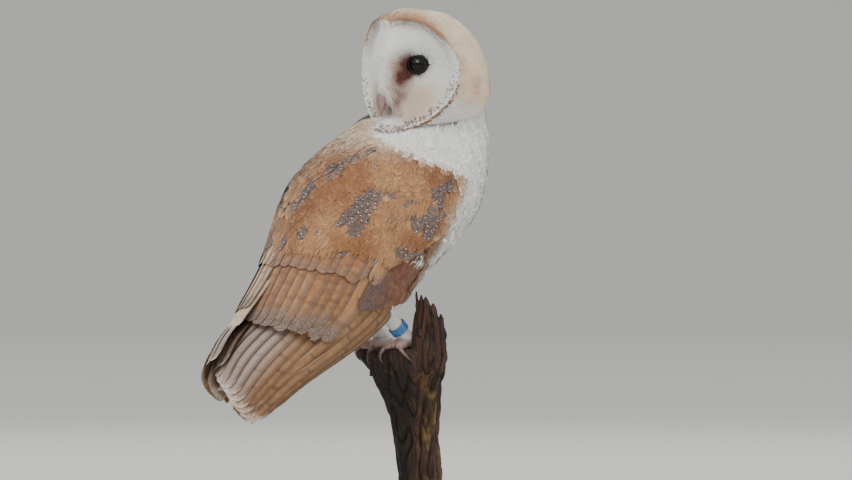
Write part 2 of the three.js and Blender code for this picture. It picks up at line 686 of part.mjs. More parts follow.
// Feet, each piece let into its neighbour, and then the wood they stand on.
const buried = [];
both((side, word) => {
  piece(owl, "tarsus_" + word, carve(tarsusBody(side), thighBody(side, GAP)), FINISH.white);
  const earlier = [tarsusBody(side, GAP)];
  for (const toe of TOES) {
    const claw = clawBody(side, toe, GAP);
    piece(owl, `toe_${word}_${toe.name}`, carve(toeBody(side, toe), ...earlier, claw), FINISH.skin);
    piece(owl, `claw_${word}_${toe.name}`, clawBody(side, toe), FINISH.claw);
    earlier.push(toeBody(side, toe, GAP));
    buried.push(claw);
  }
  buried.push(...earlier);
});
piece(owl, "leg_ring", legRing(), FINISH.ring);
piece(owl, "perch", carve(perchBody(), ...buried), FINISH.wood);
piece(owl, "stand_base", standBase(), FINISH.stand);
piece(owl, "stand_rod", standRod(), FINISH.steel);

export default owl;
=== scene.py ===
"""A life-size barn owl on a dead branch and a display stand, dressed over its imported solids."""

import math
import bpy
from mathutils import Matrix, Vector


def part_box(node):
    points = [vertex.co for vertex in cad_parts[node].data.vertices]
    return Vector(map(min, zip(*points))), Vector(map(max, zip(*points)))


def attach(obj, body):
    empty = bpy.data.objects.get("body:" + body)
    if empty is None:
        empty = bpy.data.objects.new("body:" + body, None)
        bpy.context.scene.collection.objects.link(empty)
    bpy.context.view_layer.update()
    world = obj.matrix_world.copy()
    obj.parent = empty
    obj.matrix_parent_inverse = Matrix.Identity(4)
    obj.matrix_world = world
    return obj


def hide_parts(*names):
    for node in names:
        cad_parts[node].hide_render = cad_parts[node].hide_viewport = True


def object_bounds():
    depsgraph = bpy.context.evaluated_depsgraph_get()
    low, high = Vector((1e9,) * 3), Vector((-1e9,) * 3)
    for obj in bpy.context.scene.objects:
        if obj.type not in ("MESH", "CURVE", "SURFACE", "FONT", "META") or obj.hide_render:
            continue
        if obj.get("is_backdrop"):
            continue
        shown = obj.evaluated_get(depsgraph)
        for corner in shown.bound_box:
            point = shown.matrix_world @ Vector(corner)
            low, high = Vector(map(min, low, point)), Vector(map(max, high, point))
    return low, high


bl_info = {
    "name": "Barn Owl Model",
    "version": (1, 0, 0),
    "blender": (4, 5, 0),
    "location": "View3D > Sidebar > Owl",
    "description": "Skin, plumage, horn, wood and stand of a life-size barn owl",
    "category": "Object",
}

import bmesh
import bpy
import numpy as np
from bpy.props import FloatProperty, FloatVectorProperty, PointerProperty
from mathutils import Matrix, Vector
from mathutils.bvhtree import BVHTree
from mathutils.kdtree import KDTree

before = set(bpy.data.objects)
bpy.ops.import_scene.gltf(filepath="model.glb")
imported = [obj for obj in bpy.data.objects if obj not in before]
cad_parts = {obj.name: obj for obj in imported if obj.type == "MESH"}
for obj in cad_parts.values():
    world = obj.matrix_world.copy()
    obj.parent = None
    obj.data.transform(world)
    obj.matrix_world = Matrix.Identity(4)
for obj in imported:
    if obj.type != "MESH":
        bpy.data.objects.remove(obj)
CAD_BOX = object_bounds()
MM = 0.001
ROOT = "root"
SIDES = ("right", "left")

FLESH = (
    ["facial_disc", "head", "neck", "mantle", "breast", "tail"]
    + [f"wing_{side}_{part}" for side in SIDES for part in ("coverts", "secondaries", "primary_coverts", "primaries")]
    + [f"{part}_{side}" for side in SIDES for part in ("thigh", "tarsus")]
    + [f"toe_{side}_{toe}" for side in SIDES for toe in ("hind", "outer", "middle", "inner")]
)
CLAWS = [f"claw_{side}_{toe}" for side in SIDES for toe in ("hind", "outer", "middle", "inner")]
BODY_CENTRE = np.array([-50.0, 0.0, 270.0])


# ------------------------------------------------------------------ small maths, in millimetres and degrees
def lerp(a, b, t):
    return a + (b - a) * t


def smooth(x, low, high):
    t = np.clip((np.asarray(x, float) - low) / (high - low), 0, 1)
    return t * t * (3 - 2 * t)


def bump(x, centre, width):
    return np.exp(-(((np.asarray(x, float) - centre) / width) ** 2))


def unit(v):
    return v / np.maximum(np.linalg.norm(v, axis=-1, keepdims=True), 1e-9)


def colour(red, green, blue):
    """A linear colour from display values of 0 to 255."""
    return tuple((c / 255 / 12.92) if c < 11 else ((c / 255 + 0.055) / 1.055) ** 2.4 for c in (red, green, blue))


def scatter(count, seed):
    """Evenly spread points of a unit square with a little shake, and a random third value."""
    rng = np.random.default_rng(seed)
    n = np.arange(count) + 17.0 * seed
    even = np.mod(0.5 + n[:, None] * np.array([0.7548776662, 0.5698402910]), 1)
    even = even + rng.normal(0, 0.35 / math.sqrt(count), (count, 2))
    return np.clip(np.column_stack([even, rng.random(count)]), 0, 0.99999)


def blotch(points, size, seed=0):
    """Smooth noise of 0 to 1 whose patches are about size across."""
    p = np.asarray(points, float) / size + 31.7 * seed
    cell = np.floor(p).astype(np.int64)
    share = p - cell
    share = share * share * (3 - 2 * share)
    total = np.zeros(p.shape[:-1])
    for corner in np.ndindex(2, 2, 2):
        c = cell + np.array(corner)
        h = (c[..., 0] * 73856093) ^ (c[..., 1] * 19349663) ^ (c[..., 2] * 83492791)
        h = ((h ^ (h >> 13)) * 1274126177) & 0xFFFF
        weight = np.prod(np.where(np.array(corner) == 1, share, 1 - share), axis=-1)
        total += weight * h / 0xFFFF
    return total


class Stations:
    """A smooth value through evenly spaced stations, t from 0 to 1."""

    def __init__(self, *values):
        v = np.array(values, float)
        v = np.concatenate([[2 * v[0] - v[1]], v, [2 * v[-1] - v[-2]]])
        step = (np.diff(v) ** 2 + 1) ** 0.25
        before, start, end, after = v[:-3], v[1:-2], v[2:-1], v[3:]
        d0, d1, d2 = step[:-2], step[1:-1], step[2:]
        a = ((start - before) / d0 - (end - before) / (d0 + d1) + (end - start) / d1) * d1
        b = ((end - start) / d1 - (after - start) / (d1 + d2) + (after - end) / d2) * d1
        self.terms = np.array([start, a, 3 * (end - start) - 2 * a - b, 2 * (start - end) + a + b])

    def __call__(self, t):
        spans = self.terms.shape[1]
        x = np.clip(np.asarray(t, float), 0, 1) * spans
        i = np.minimum(x.astype(int), spans - 1)
        u = x - i
        k = self.terms[:, i]
        return k[0] + u * (k[1] + u * (k[2] + u * k[3]))


# ------------------------------------------------------------------ surfaces of the bird
class Surface:
    """A form that is read by two parameters. chart maps them to a unit square for the baked colours."""

    def __init__(self, point, centre, chart, steps):
        self.point, self.centre, self.chart, self.steps = point, centre, chart, steps

    def frame(self, p):
        """Point, outward normal and the two slopes at parameters p."""
        a, b = p[..., 0], p[..., 1]
        da, db = self.steps
        here = self.point(a, b)
        slope_a = (self.point(a + da, b) - self.point(a - da, b)) / (2 * da)
        slope_b = (self.point(a, b + db) - self.point(a, b - db)) / (2 * db)
        normal = unit(np.cross(slope_a, slope_b))
        flip = np.sign(np.sum(normal * (here - self.centre(a, b)), axis=-1, keepdims=True))
        return here, normal * np.where(flip == 0, 1, flip), slope_a, slope_b

    def track(self, roots, toward, length, rows):
        """Parameters along a line of that length in mm from each root, in that direction."""
        _, _, slope_a, slope_b = self.frame(roots)
        speed = np.linalg.norm(slope_a * toward[:, :1] + slope_b * toward[:, 1:], axis=-1)
        reach = toward * (length / np.maximum(speed, 1e-6))[:, None]
        return roots[:, None] + reach[:, None] * np.linspace(0, 1, rows + 1)[None, :, None]

    def sow(self, low, high, spacing, seed, keep=None):
        """Roots spread over a range of parameters, about one for each spacing squared."""
        low, high = np.array(low, float), np.array(high, float)
        probe = low + (high - low) * scatter(4000, seed)[:, :2]
        _, _, slope_a, slope_b = self.frame(probe)
        area = np.linalg.norm(np.cross(slope_a, slope_b), axis=-1)
        most = np.percentile(area, 99)
        count = int(most * np.prod(high - low) / spacing**2)
        shares = scatter(count, seed)
        roots = low + (high - low) * shares[:, :2]
        _, _, slope_a, slope_b = self.frame(roots)
        area = np.linalg.norm(np.cross(slope_a, slope_b), axis=-1)
        roots = roots[shares[:, 2] * most < area]
        return roots if keep is None else roots[keep(roots[:, 0], roots[:, 1])]


# The envelope of the plumage: t runs from the neck to the wing tips, and turn 0 is the back, 90 the
# right side and 180 the belly.
BACK_X = Stations(-34, -53, -79, -102, -114, -122, -132, -144, -156, -170, -186)
BACK_Z = Stations(354, 341, 323, 302, 280, 256, 232, 208, 184, 155, 124)
BELLY_X = Stations(63, 65, 62.5, 55, 39.5, 13, -10, -18, -54, -106, -148)
BELLY_Z = Stations(373, 339, 309, 283, 259, 236, 211, 193, 167, 136, 104)
HALF_WIDTH = Stations(38, 46, 56, 60, 61, 60, 56, 50, 42, 33, 22)
SHIFT = Stations(6, 4, 2, 0, 0, 0, 0, 0, 0, 0, 0)
SQUARED = 2 / 2.25


def envelope(t, turn, inset=0.0):
    t, turn, inset = np.broadcast_arrays(np.asarray(t, float), np.asarray(turn, float), np.asarray(inset, float))
    bx, bz, vx, vz = BACK_X(t), BACK_Z(t), BELLY_X(t), BELLY_Z(t)
    length = np.hypot(bx - vx, bz - vz)
    c, s = np.cos(np.radians(turn)), np.sin(np.radians(turn))
    along = np.maximum(length / 2 - inset, 0.5) * np.sign(c) * np.abs(c) ** SQUARED
    across = np.maximum(HALF_WIDTH(t) - inset, 0.5) * np.sign(s) * np.abs(s) ** SQUARED
    x = (bx + vx) / 2 + (bx - vx) / length * along
    z = (bz + vz) / 2 + (bz - vz) / length * along
    return np.stack([x, SHIFT(t) - across, z], -1)


def middle_line(t):
    return np.stack([(BACK_X(t) + BELLY_X(t)) / 2, SHIFT(t), (BACK_Z(t) + BELLY_Z(t)) / 2], -1)


def to_left(p, t):
    """The left wing is mirrored, and carried higher and further forward behind the wrist."""
    lift = smooth(t, 0.5, 0.95)
    angle = np.radians(3.6) * lift
    c, s = np.cos(angle), np.sin(angle)
    x, z = p[..., 0] - 10, p[..., 2] - 300
    return np.stack([10 + x * c + z * s + 5 * lift, -p[..., 1], 300 + z * c - x * s + 5 * lift], -1)


def body_chart(t, turn):
    return np.stack([0.02 + 0.96 * np.mod(turn / 360 + 0.5, 1), 0.02 + 0.96 * np.clip(t, 0, 1)], -1)


TRUNK = Surface(envelope, lambda t, u: middle_line(t), body_chart, (0.004, 1.0))


def wing_surface(side, inset=lambda t, u: 0.0):
    def place(t, turn):
        p = envelope(t, turn, inset(t, turn))
        return p if side == "right" else to_left(p, t)

    def centre(t, turn):
        p = middle_line(t)
        return p if side == "right" else to_left(p, t)

    return Surface(place, centre, body_chart, (0.004, 1.0))


def leading_edge(t):
    return 109 + 8 * smooth(t, 0.18, 0.3) + 22 * smooth(t, 0.42, 0.56) + 4 * smooth(t, 0.72, 0.95)


def cover_edge(t):
    return lerp(leading_edge(t), 90, smooth(t, 0.36, 0.58))


def inner_edge(t):
    return lerp(52, 0.25, smooth(t, 0.2, 0.46))


# The head, in its own frame: +X ahead and +Y its left.
HEAD_AT = np.array([14.0, -4.0, 389.0])
YAW = math.radians(-165)
HEAD_AXES = np.array([[math.cos(YAW), math.sin(YAW), 0], [-math.sin(YAW), math.cos(YAW), 0], [0, 0, 1]])
HALF_FACE = 55.0
LID = (21.9, 4.7)  # middle of the open eye, to the side and up


def from_head(p):
    c, s = math.cos(YAW), math.sin(YAW)
    return np.stack([c * p[..., 0] - s * p[..., 1], s * p[..., 0] + c * p[..., 1], p[..., 2]], -1) + HEAD_AT


def disc_outline(angle):
    c, s = np.cos(angle), np.sin(angle)
    below_y, below_z = HALF_FACE * c * (1 - 0.05 * s * s), 48 * s
    y = HALF_FACE * np.sign(c) * np.abs(c) ** 0.75 * (1 - 0.075 * np.sin(2 * angle) ** 2)
    z = 42 * np.abs(s) ** 0.92 - 6 * bump(y, 0, 8)
    return np.where(s <= 0, below_y, y), np.where(s <= 0, below_z, z)


def rim_ahead(y, z):
    return lerp(np.where(z < 0, 45.0, 50.5), 21.5, (np.abs(y) / HALF_FACE) ** 1.15)


def face_ahead(y, z, ring):
    side = np.abs(y) / HALF_FACE
    disc = lerp(44.5, 22, side**0.9) - 3 * bump(side, 0.7, 0.22) * bump(z, -2, 28)
    crest = lerp(40, 58.5, smooth(z, -40, -8)) - 9 * smooth(z, 4, 40) - 0.035 * y * y
    half = 18 - 8 * smooth(z, 10, 36) - 9 * smooth(-z, 4, 26)
    bowl = lerp(disc, crest, np.exp(-((np.abs(y) / half) ** 5)))
    return lerp(bowl, rim_ahead(y, z), smooth(ring, 0.8, 1))


def head_point(angle, ring):
    """Rings 0 to 1 cover the face out to its rim, and 1 to 2 the rest back to the nape."""
    y, z = disc_outline(angle)
    c, s = np.cos(np.radians((ring - 1) * 90)), np.sin(np.radians((ring - 1) * 90))
    height = np.where(np.sin(angle) > 0, 66.0, 35.0)
    rounded = smooth(ring, 1, 1.12)
    rear_x = lerp(rim_ahead(y, z), 14 - 65 * s, smooth(ring, 1, 1.22))
    rear = [rear_x, lerp(y, 52 * np.cos(angle) * c, rounded), lerp(z, -15 + height * np.sin(angle) * c, rounded)]
    fy, fz = y * np.minimum(ring, 1), z * np.minimum(ring, 1)
    front = [face_ahead(fy, fz, ring), fy, fz]
    return from_head(np.stack([np.where(ring <= 1, f, r) for f, r in zip(front, rear)], -1))


def head_chart(angle, ring):
    reach = 0.24 * np.clip(ring, 0, 2)
    return np.stack([0.5 + reach * np.cos(angle), 0.5 + reach * np.sin(angle)], -1)


HEAD_MIDDLE = from_head(np.array([8.0, 0.0, -5.0]))


def behind(y, z):
    """A place far behind that part of the face, so that its outward side is the one ahead."""
    return from_head(np.stack([np.full(np.shape(y), -400.0), y, z], -1))


def head_centre(angle, ring):
    y, z = disc_outline(angle)
    return np.where((ring < 1)[..., None], behind(y * ring, z * ring), HEAD_MIDDLE)


HEAD = Surface(head_point, head_centre, head_chart, (0.01, 0.008))

RIM_TURN = np.linspace(0, 2 * math.pi, 721)
RIM_Y, RIM_Z = disc_outline(RIM_TURN)
RIM_BEARING = np.unwrap(np.arctan2(RIM_Z, RIM_Y))


def ring_of(y, z):
    """Which ring of the face a place lies on: 0 at the middle and 1 at the rim."""
    bearing = np.mod(np.arctan2(z, y) - RIM_BEARING[0], 2 * math.pi) + RIM_BEARING[0]
    return np.hypot(y, z) / np.interp(bearing, RIM_BEARING, np.hypot(RIM_Y, RIM_Z))


def face_point(y, z):
    return from_head(np.stack([face_ahead(y, z, np.minimum(ring_of(y, z), 1)), y, z], -1))


def face_chart(y, z):
    return np.stack([0.5 + y / 130, 0.5 + z / 130], -1)


FACE = Surface(face_point, behind, face_chart, (0.4, 0.4))


# The legs: tubes round a line, t from the top down and turn round it.
def tube_surface(points, radii, chart_row):
    points = np.array(points, float)
    lines = [Stations(*points[:, i]) for i in range(3)]
    radius = Stations(*radii)

    def centre(t, turn):
        return np.stack([line(t) for line in lines], -1)

    def place(t, turn):
        axis = unit(centre(t + 0.02, turn) - centre(t - 0.02, turn))
        across = unit(np.cross(axis, np.array([0.0, 1.0, 0.0])))
        third = np.cross(axis, across)
        a = np.radians(turn)[..., None]
        return centre(t, turn) + radius(t)[..., None] * (across * np.cos(a) + third * np.sin(a))

    def chart(t, turn):
        return np.stack([0.02 + 0.96 * np.mod(turn / 360, 1), chart_row + 0.2 * np.clip(t, 0, 1)], -1)

    return Surface(place, centre, chart, (0.02, 4.0))


# ------------------------------------------------------------------ vanes and tufts as joined meshes
def leaf(s):
    """Outline of a body feather: quickly wide, and widest past its middle."""
    return np.clip(0.3 + 1.9 * s, 0, 1) * (1 - 0.12 * smooth(s, 0.7, 1))


def quill(s):
    """Outline of a flight feather: parallel sides."""
    return 0.55 + 0.45 * smooth(s, 0, 0.18)


def barb(s):
    """Outline of a fine tuft: a sliver that ends in a point."""
    return np.interp(s, [0, 0.4, 1], [0.45, 1, 0.1])


def vane_template(rows, columns):
    """Row, column and faces of one vane's grid, in the order that bmesh gives."""
    bm = bmesh.new()
    bmesh.ops.create_grid(bm, x_segments=rows, y_segments=columns, size=1)
    places = np.array([v.co[:2] for v in bm.verts])
    faces = np.array([[v.index for v in f.verts] for f in bm.faces])
    bm.free()
    row = np.rint((places[:, 0] + 1) / 2 * rows).astype(int)
    column = np.rint((places[:, 1] + 1) / 2 * columns).astype(int)
    return row, column, faces


class Vanes:
    """A batch of like feathers, laid along their tracks on a surface."""

    def __init__(self, surface, track, half_width, low, high, outline=leaf, columns=4, rounding=1.0, cup=0.0,
                 power=1.0, roll=0.0, fray=0.0, tint=None, seed=1, tip=None, **marks):
        count, rows = track.shape[0], track.shape[1] - 1
        rng = np.random.default_rng(seed)
        s, a = np.linspace(0, 1, rows + 1), np.linspace(-1, 1, columns + 1)
        points, normals, _, _ = surface.frame(track)
        along = unit(np.gradient(points, axis=1))
        across = np.cross(normals, along)
        length = np.linalg.norm(np.diff(points, axis=1), axis=-1).sum(axis=1)
        wide = np.broadcast_to(np.asarray(half_width, float), (count,))
        low, high = (np.broadcast_to(np.asarray(x, float), (count,)) for x in (low, high))
        end = 1 - rounding * (wide / length)[:, None] * (1 - np.sqrt(np.clip(1 - a**2, 0, 1)))
        end = end + fray * rng.normal(0, 1, end.shape)
        slide = (s[None, :, None] ** 3) * (end[:, None, :] - 1) * length[:, None, None]
        out = wide[:, None, None] * outline(s)[None, :, None] * a[None, None, :]
        tilt = np.broadcast_to(np.asarray(roll, float), (count,))
        rise = (low[:, None] + (high - low)[:, None] * s[None, :] ** power)[:, :, None]
        rise = rise - cup * wide[:, None, None] * (a**2)[None, None, :] + tilt[:, None, None] * out
        grid = points[:, :, None] + along[:, :, None] * slide[..., None]
        grid = grid + across[:, :, None] * out[..., None] + normals[:, :, None] * rise[..., None]
        row, column, self.faces = vane_template(rows, columns)
        self.points = grid[:, row, column]
        self.line = points if count < 400 else points[:, :1]
        self.vane_uv = np.stack([column / columns, row / rows], -1)
        root_uv = surface.chart(track[:, 0, 0], track[:, 0, 1])
        self.bake_uv = np.clip(root_uv, 0.003, 0.997)[:, None] + 0.003 * (self.vane_uv - 0.5)
        self.tint = np.broadcast_to(tint, (count, 3))
        self.tip = self.tint if tip is None else np.broadcast_to(tip, (count, 3))
        self.share = row / rows
        self.marks = {name: np.broadcast_to(np.asarray(v, float), (count,)) for name, v in marks.items()}
        self.count = count

    def own_patches(self, first, columns):
        """Gives each vane a patch of its own in the baked map, in rows of that many, from patch first."""
        n = first + np.arange(self.count)
        corner = np.stack([n % columns, n // columns], -1) / columns
        self.bake_uv = corner[:, None] + (0.06 + 0.88 * self.vane_uv) / columns
        return self


PAINTED = []  # where the coat's roots are and what colour they have, for the skin below them


def join_vanes(name, batches, material, remember=True):
    """One mesh from batches of vanes."""
    counts = [b.points.shape[0] * b.points.shape[1] for b in batches]
    starts = np.concatenate([[0], np.cumsum(counts)[:-1]]).astype(int)
    faces = np.concatenate([
        (b.faces[None] + (np.arange(b.count) * b.points.shape[1])[:, None, None] + start).reshape(-1, 4)
        for b, start in zip(batches, starts)
    ])
    mesh = bpy.data.meshes.new(name)
    mesh.vertices.add(sum(counts))
    mesh.vertices.foreach_set("co", (np.concatenate([b.points.reshape(-1, 3) for b in batches]) * MM).ravel())
    mesh.loops.add(faces.size)
    mesh.loops.foreach_set("vertex_index", faces.ravel())
    mesh.polygons.add(len(faces))
    mesh.polygons.foreach_set("loop_start", np.arange(0, faces.size, 4))
    mesh.polygons.foreach_set("use_smooth", np.ones(len(faces), bool))
    mesh.update(calc_edges=True)
    vane = np.concatenate([np.tile(b.vane_uv, (b.count, 1)) for b in batches])
    bake = np.concatenate([b.bake_uv.reshape(-1, 2) for b in batches])
    for layer, values in (("Vane", vane), ("OFBake", bake)):
        uv = mesh.uv_layers.new(name=layer)
        uv.data.foreach_set("uv", values[faces.ravel()].ravel())
    tint = np.concatenate([
        (b.tint[:, None] + (b.tip - b.tint)[:, None] * b.share[None, :, None]).reshape(-1, 3) for b in batches
    ])
    attribute = mesh.attributes.new("Tint", "FLOAT_COLOR", "POINT")
    attribute.data.foreach_set("color", np.concatenate([tint, np.ones((len(tint), 1))], 1).ravel())
    for mark in sorted({m for b in batches for m in b.marks}):
        values = np.concatenate([
            np.repeat(b.marks.get(mark, np.zeros(b.count)), b.points.shape[1]) for b in batches
        ])
        mesh.attributes.new(mark, "FLOAT", "POINT").data.foreach_set("value", values)
    mesh.materials.append(material)
    if remember:
        PAINTED.extend((b.line.reshape(-1, 3), np.repeat(b.tint, b.line.shape[1], axis=0)) for b in batches)
    return add_piece(name, mesh)


def add_piece(name, mesh, replaces=(), material=None):
    """Links a finished mesh as a piece that rides on the one body."""
    obj = bpy.data.objects.new(name, mesh)
    bpy.context.scene.collection.objects.link(obj)
    if material is not None:
        mesh.materials.clear()
        mesh.materials.append(material)
    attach(obj, ROOT)
    if replaces:
        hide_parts(*replaces)
    return obj


def merged_copy(names):
    """A bmesh of these CAD nodes, with their doubled corners merged."""
    bm = bmesh.new()
    for name in names:
        bm.from_mesh(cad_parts[name].data)
    bmesh.ops.remove_doubles(bm, verts=bm.verts, dist=2e-6)
    return bm


def baked_modifiers(name, bm, *modifiers):
    """A new mesh from a bmesh after these modifiers, each a type and its settings."""
    source = bpy.data.meshes.new(name + "_source")
    bm.to_mesh(source)
    bm.free()
    obj = bpy.data.objects.new(name + "_source", source)
    bpy.context.scene.collection.objects.link(obj)
    for kind, settings in modifiers:
        modifier = obj.modifiers.new(kind.title(), kind)
        for key, value in settings.items():
            setattr(modifier, key, value)
    bpy.context.view_layer.update()
    mesh = bpy.data.meshes.new_from_object(obj.evaluated_get(bpy.context.evaluated_depsgraph_get()))
    mesh.name = name
    bpy.data.objects.remove(obj)
    bpy.data.meshes.remove(source)
    return mesh


def coordinates(mesh):
    co = np.empty(len(mesh.vertices) * 3, np.float32)
    mesh.vertices.foreach_get("co", co)
    return co.reshape(-1, 3).astype(float)


def smooth_faces(mesh):
    mesh.polygons.foreach_set("use_smooth", np.ones(len(mesh.polygons), bool))


# ------------------------------------------------------------------ shader graphs
class Socket:
    """A shader value that takes part in Python arithmetic."""

    def __init__(self, graph, link):
        self.graph, self.link = graph, link

    def _maths(self, operation, *values):
        return self.graph.node("ShaderNodeMath", {"operation": operation}, dict(enumerate(values)))

    def __add__(self, other):
        return self._maths("ADD", self, other)

    __radd__ = __add__

    def __mul__(self, other):
        return self._maths("MULTIPLY", self, other)

    __rmul__ = __mul__

    def __sub__(self, other):
        return self._maths("SUBTRACT", self, other)

    def __rsub__(self, other):
        return self._maths("SUBTRACT", other, self)

    def __truediv__(self, other):
        return self._maths("DIVIDE", self, other)

    def __pow__(self, other):
        return self._maths("POWER", self, other)

    def __abs__(self):
        return self._maths("ABSOLUTE", self)

    def fraction(self):
        return self._maths("FRACT", self)

    def step(self, low, high):
        """0 below low and 1 above high, with a smooth rise between. low may be the higher one."""
        settings = {"interpolation_type": "SMOOTHSTEP"}
        if low < high:
            return self.graph.node("ShaderNodeMapRange", settings, {0: self, 1: low, 2: high})
        return 1 - self.graph.node("ShaderNodeMapRange", settings, {0: self, 1: high, 2: low})


class Graph:
    """A material with one Principled shader, and short ways to add nodes to it."""

    def __init__(self, name, roughness=0.7, **settings):
        self.material = bpy.data.materials.new(name)
        self.material.use_nodes = True
        self.tree = self.material.node_tree
        self.shader = self.tree.nodes["Principled BSDF"]
        self.shader.inputs["Roughness"].default_value = roughness
        for key, value in settings.items():
            self.shader.inputs[key.replace("_", " ")].default_value = value

    def node(self, kind, settings=None, inputs=None, output=0):
        made = self.tree.nodes.new(kind)
        for key, value in (settings or {}).items():
            setattr(made, key, value)
        for key, value in (inputs or {}).items():
            self.feed(made.inputs[key], value)
        return Socket(self, made.outputs[output])

    def feed(self, socket, value):
        if isinstance(value, Socket):
            self.tree.links.new(value.link, socket)
        elif socket.type == "RGBA" and len(value) == 3:
            socket.default_value = (*value, 1)
        else:
            socket.default_value = value

    def mark(self, name, output="Fac"):
        return self.node("ShaderNodeAttribute", {"attribute_name": name}, output=output)

    def place(self, scale=(1, 1, 1), turn=(0, 0, 0)):
        """Object coordinates in millimetres, stretched and turned."""
        where = self.node("ShaderNodeTexCoord", output="Object")
        size = tuple(1000 * s for s in scale)
        return self.node("ShaderNodeMapping", {"vector_type": "POINT"}, {0: where, 2: turn, 3: size})

    def noise(self, size, detail=2.0, where=None, roughness=0.5):
        where = self.place() if where is None else where
        return self.node("ShaderNodeTexNoise", None, {"Vector": where, "Scale": 1 / size, "Detail": detail, "Roughness": roughness})

    def cells(self, size, where=None, feature="F1", output="Distance"):
        where = self.place() if where is None else where
        return self.node("ShaderNodeTexVoronoi", {"feature": feature}, {"Vector": where, "Scale": 1 / size}, output=output)

    def mix(self, factor, a, b, blend="MIX"):
        return self.node("ShaderNodeMix", {"data_type": "RGBA", "blend_type": blend}, {0: factor, 6: a, 7: b}, output=2)

    def ramp(self, factor, *stops):
        made = self.tree.nodes.new("ShaderNodeValToRGB")
        elements = made.color_ramp.elements
        while len(elements) < len(stops):
            elements.new(0.5)
        for element, (position, value) in zip(elements, stops):
            element.position, element.color = position, (*value, 1)
        self.feed(made.inputs[0], factor)
        return Socket(self, made.outputs[0])

    def vane(self):
        """Across and along of a vane, each from 0 to 1."""
        where = self.node("ShaderNodeUVMap", {"uv_map": "Vane"})
        split = self.node("ShaderNodeSeparateXYZ", None, {0: where})
        return split, Socket(self, split.link.node.outputs[1])

    def bump(self, height, distance, strength=1.0):
        """Distance is in millimetres."""
        value = self.node("ShaderNodeBump", None, {"Height": height, "Distance": distance * MM, "Strength": strength})
        self.feed(self.shader.inputs["Normal"], value)

    def paint(self, value, roughness=None):
        self.feed(self.shader.inputs["Base Color"], value)
        if roughness is not None:
            self.feed(self.shader.inputs["Roughness"], roughness)
        return self.material


# ------------------------------------------------------------------ settings
def shade(name, description, value):
    return FloatVectorProperty(name=name, description=description, subtype="COLOR", size=3, min=0, max=1, default=value)


def share(name, description, value):
    return FloatProperty(name=name, description=description, default=value, min=0, max=1, subtype="FACTOR")


def length(name, description, value):
    return FloatProperty(name=name, description=description, default=value, min=0, unit="LENGTH", precision=4)


class OWL_PG_colours(bpy.types.PropertyGroup):
    """Colours of the plumage and of the bare parts."""

    white: shade("White", "Breast, belly, legs and face", colour(240, 239, 234))
    cream: shade("Cream", "Crown, nape and the edges of the mantle", colour(232, 210, 178))
    gold: shade("Gold", "Mantle and wing coverts", colour(154, 102, 60))
    pale_gold: shade("Pale gold", "Lighter feathers among the gold ones", colour(190, 143, 98))
    rufous: shade("Rufous", "Feathers over the base of the primaries", colour(104, 54, 26))
    ruff: shade("Ruff", "Band of dense feathers round the face", colour(180, 124, 80))
    quill: shade("Flight feather", "Vanes of the primaries and tail", colour(140, 103, 66))
    # brown also paints the shade along the inner edges of the primaries and tail
    brown: shade("Brown", "Bars and edges of the flight feathers", colour(84, 56, 38))
    grey: shade("Grey", "Peppered patches", colour(106, 96, 96))
    ink: shade("Ink", "Dark ends of the spots, and the lid", colour(34, 24, 22))
    tear: shade("Tear mark", "Stain at the inner corner of the eye", colour(98, 42, 20))
    horn: shade("Bill", "Sheath of the bill", colour(168, 132, 128))
    claw: shade("Claw", "Horn of the claws", colour(112, 96, 98))
    toe: shade("Toe", "Bare skin of the toes", colour(188, 142, 130))
    ring: shade("Ring", "Band on the right leg", colour(38, 112, 176))
    wood: shade("Wood", "Heart of the dead branch", colour(72, 45, 29))
    lichen: shade("Lichen", "Growth low on the branch", colour(128, 100, 54))
    base: shade("Stand", "Lacquer of the base", colour(52, 48, 46))


class OWL_PG_plumage(bpy.types.PropertyGroup):
    """Depth and fineness of the coat."""

    body_depth: length("Body depth", "Coat over the trunk", 0.0045)
    head_depth: length("Head depth", "Coat over the crown and nape", 0.003)
    face_depth: length("Face depth", "Coat of the facial disc", 0.0012)
    voxel: length("Skin grid", "Spacing of the skin's own grid", 0.002)
    density: FloatProperty(name="Density", description="Share of the full number of tufts", default=1, min=0.1, max=1.5)
    spots: share("Spots", "How many peppered feathers end in a spot", 0.9)


class OWL_PG_stage(bpy.types.PropertyGroup):
    """Floor, light and camera."""

    floor: shade("Floor", "Plain floor and its upward sweep", colour(196, 193, 187))
    daylight: FloatProperty(name="Daylight", description="Strength of the even light from all round", default=1.15, min=0)
    key: FloatProperty(name="Key", description="Power of the soft light above", default=105, min=0, unit="POWER")
    distance: length("Camera distance", "From the object to the camera", 6.0)
    lens: FloatProperty(name="Lens", description="Focal length of the camera", default=316.9, min=1, unit="CAMERA")


def colours():
    return bpy.context.scene.owl_colours


def tone(name):
    return np.array(getattr(colours(), name))


# ------------------------------------------------------------------ markings, the same for the skin and the coat
# Peppered patches: t, turn, half length in t and half width in degrees.
WING_PEPPER = (
    (0.255, 104, 0.02, 5), (0.29, 99, 0.03, 6), (0.35, 103, 0.03, 7), (0.39, 97, 0.028, 9), (0.41, 104, 0.02, 6),
    (0.345, 57, 0.035, 5), (0.315, 70, 0.014, 9), (0.345, 63, 0.03, 5), (0.39, 59, 0.02, 7), (0.43, 62, 0.034, 7),
    (0.415, 52, 0.02, 5), (0.485, 106, 0.018, 15), (0.53, 78, 0.014, 13), (0.52, 62, 0.012, 7),
    (0.45, 23, 0.04, 4), (0.51, 8, 0.04, 5), (0.59, 3, 0.05, 4), (0.36, 42, 0.014, 3), (0.4, 35, 0.018, 3),
    (0.46, 38, 0.014, 3), (0.33, 86, 0.012, 3), (0.37, 80, 0.012, 3), (0.70, 3, 0.03, 4),
)
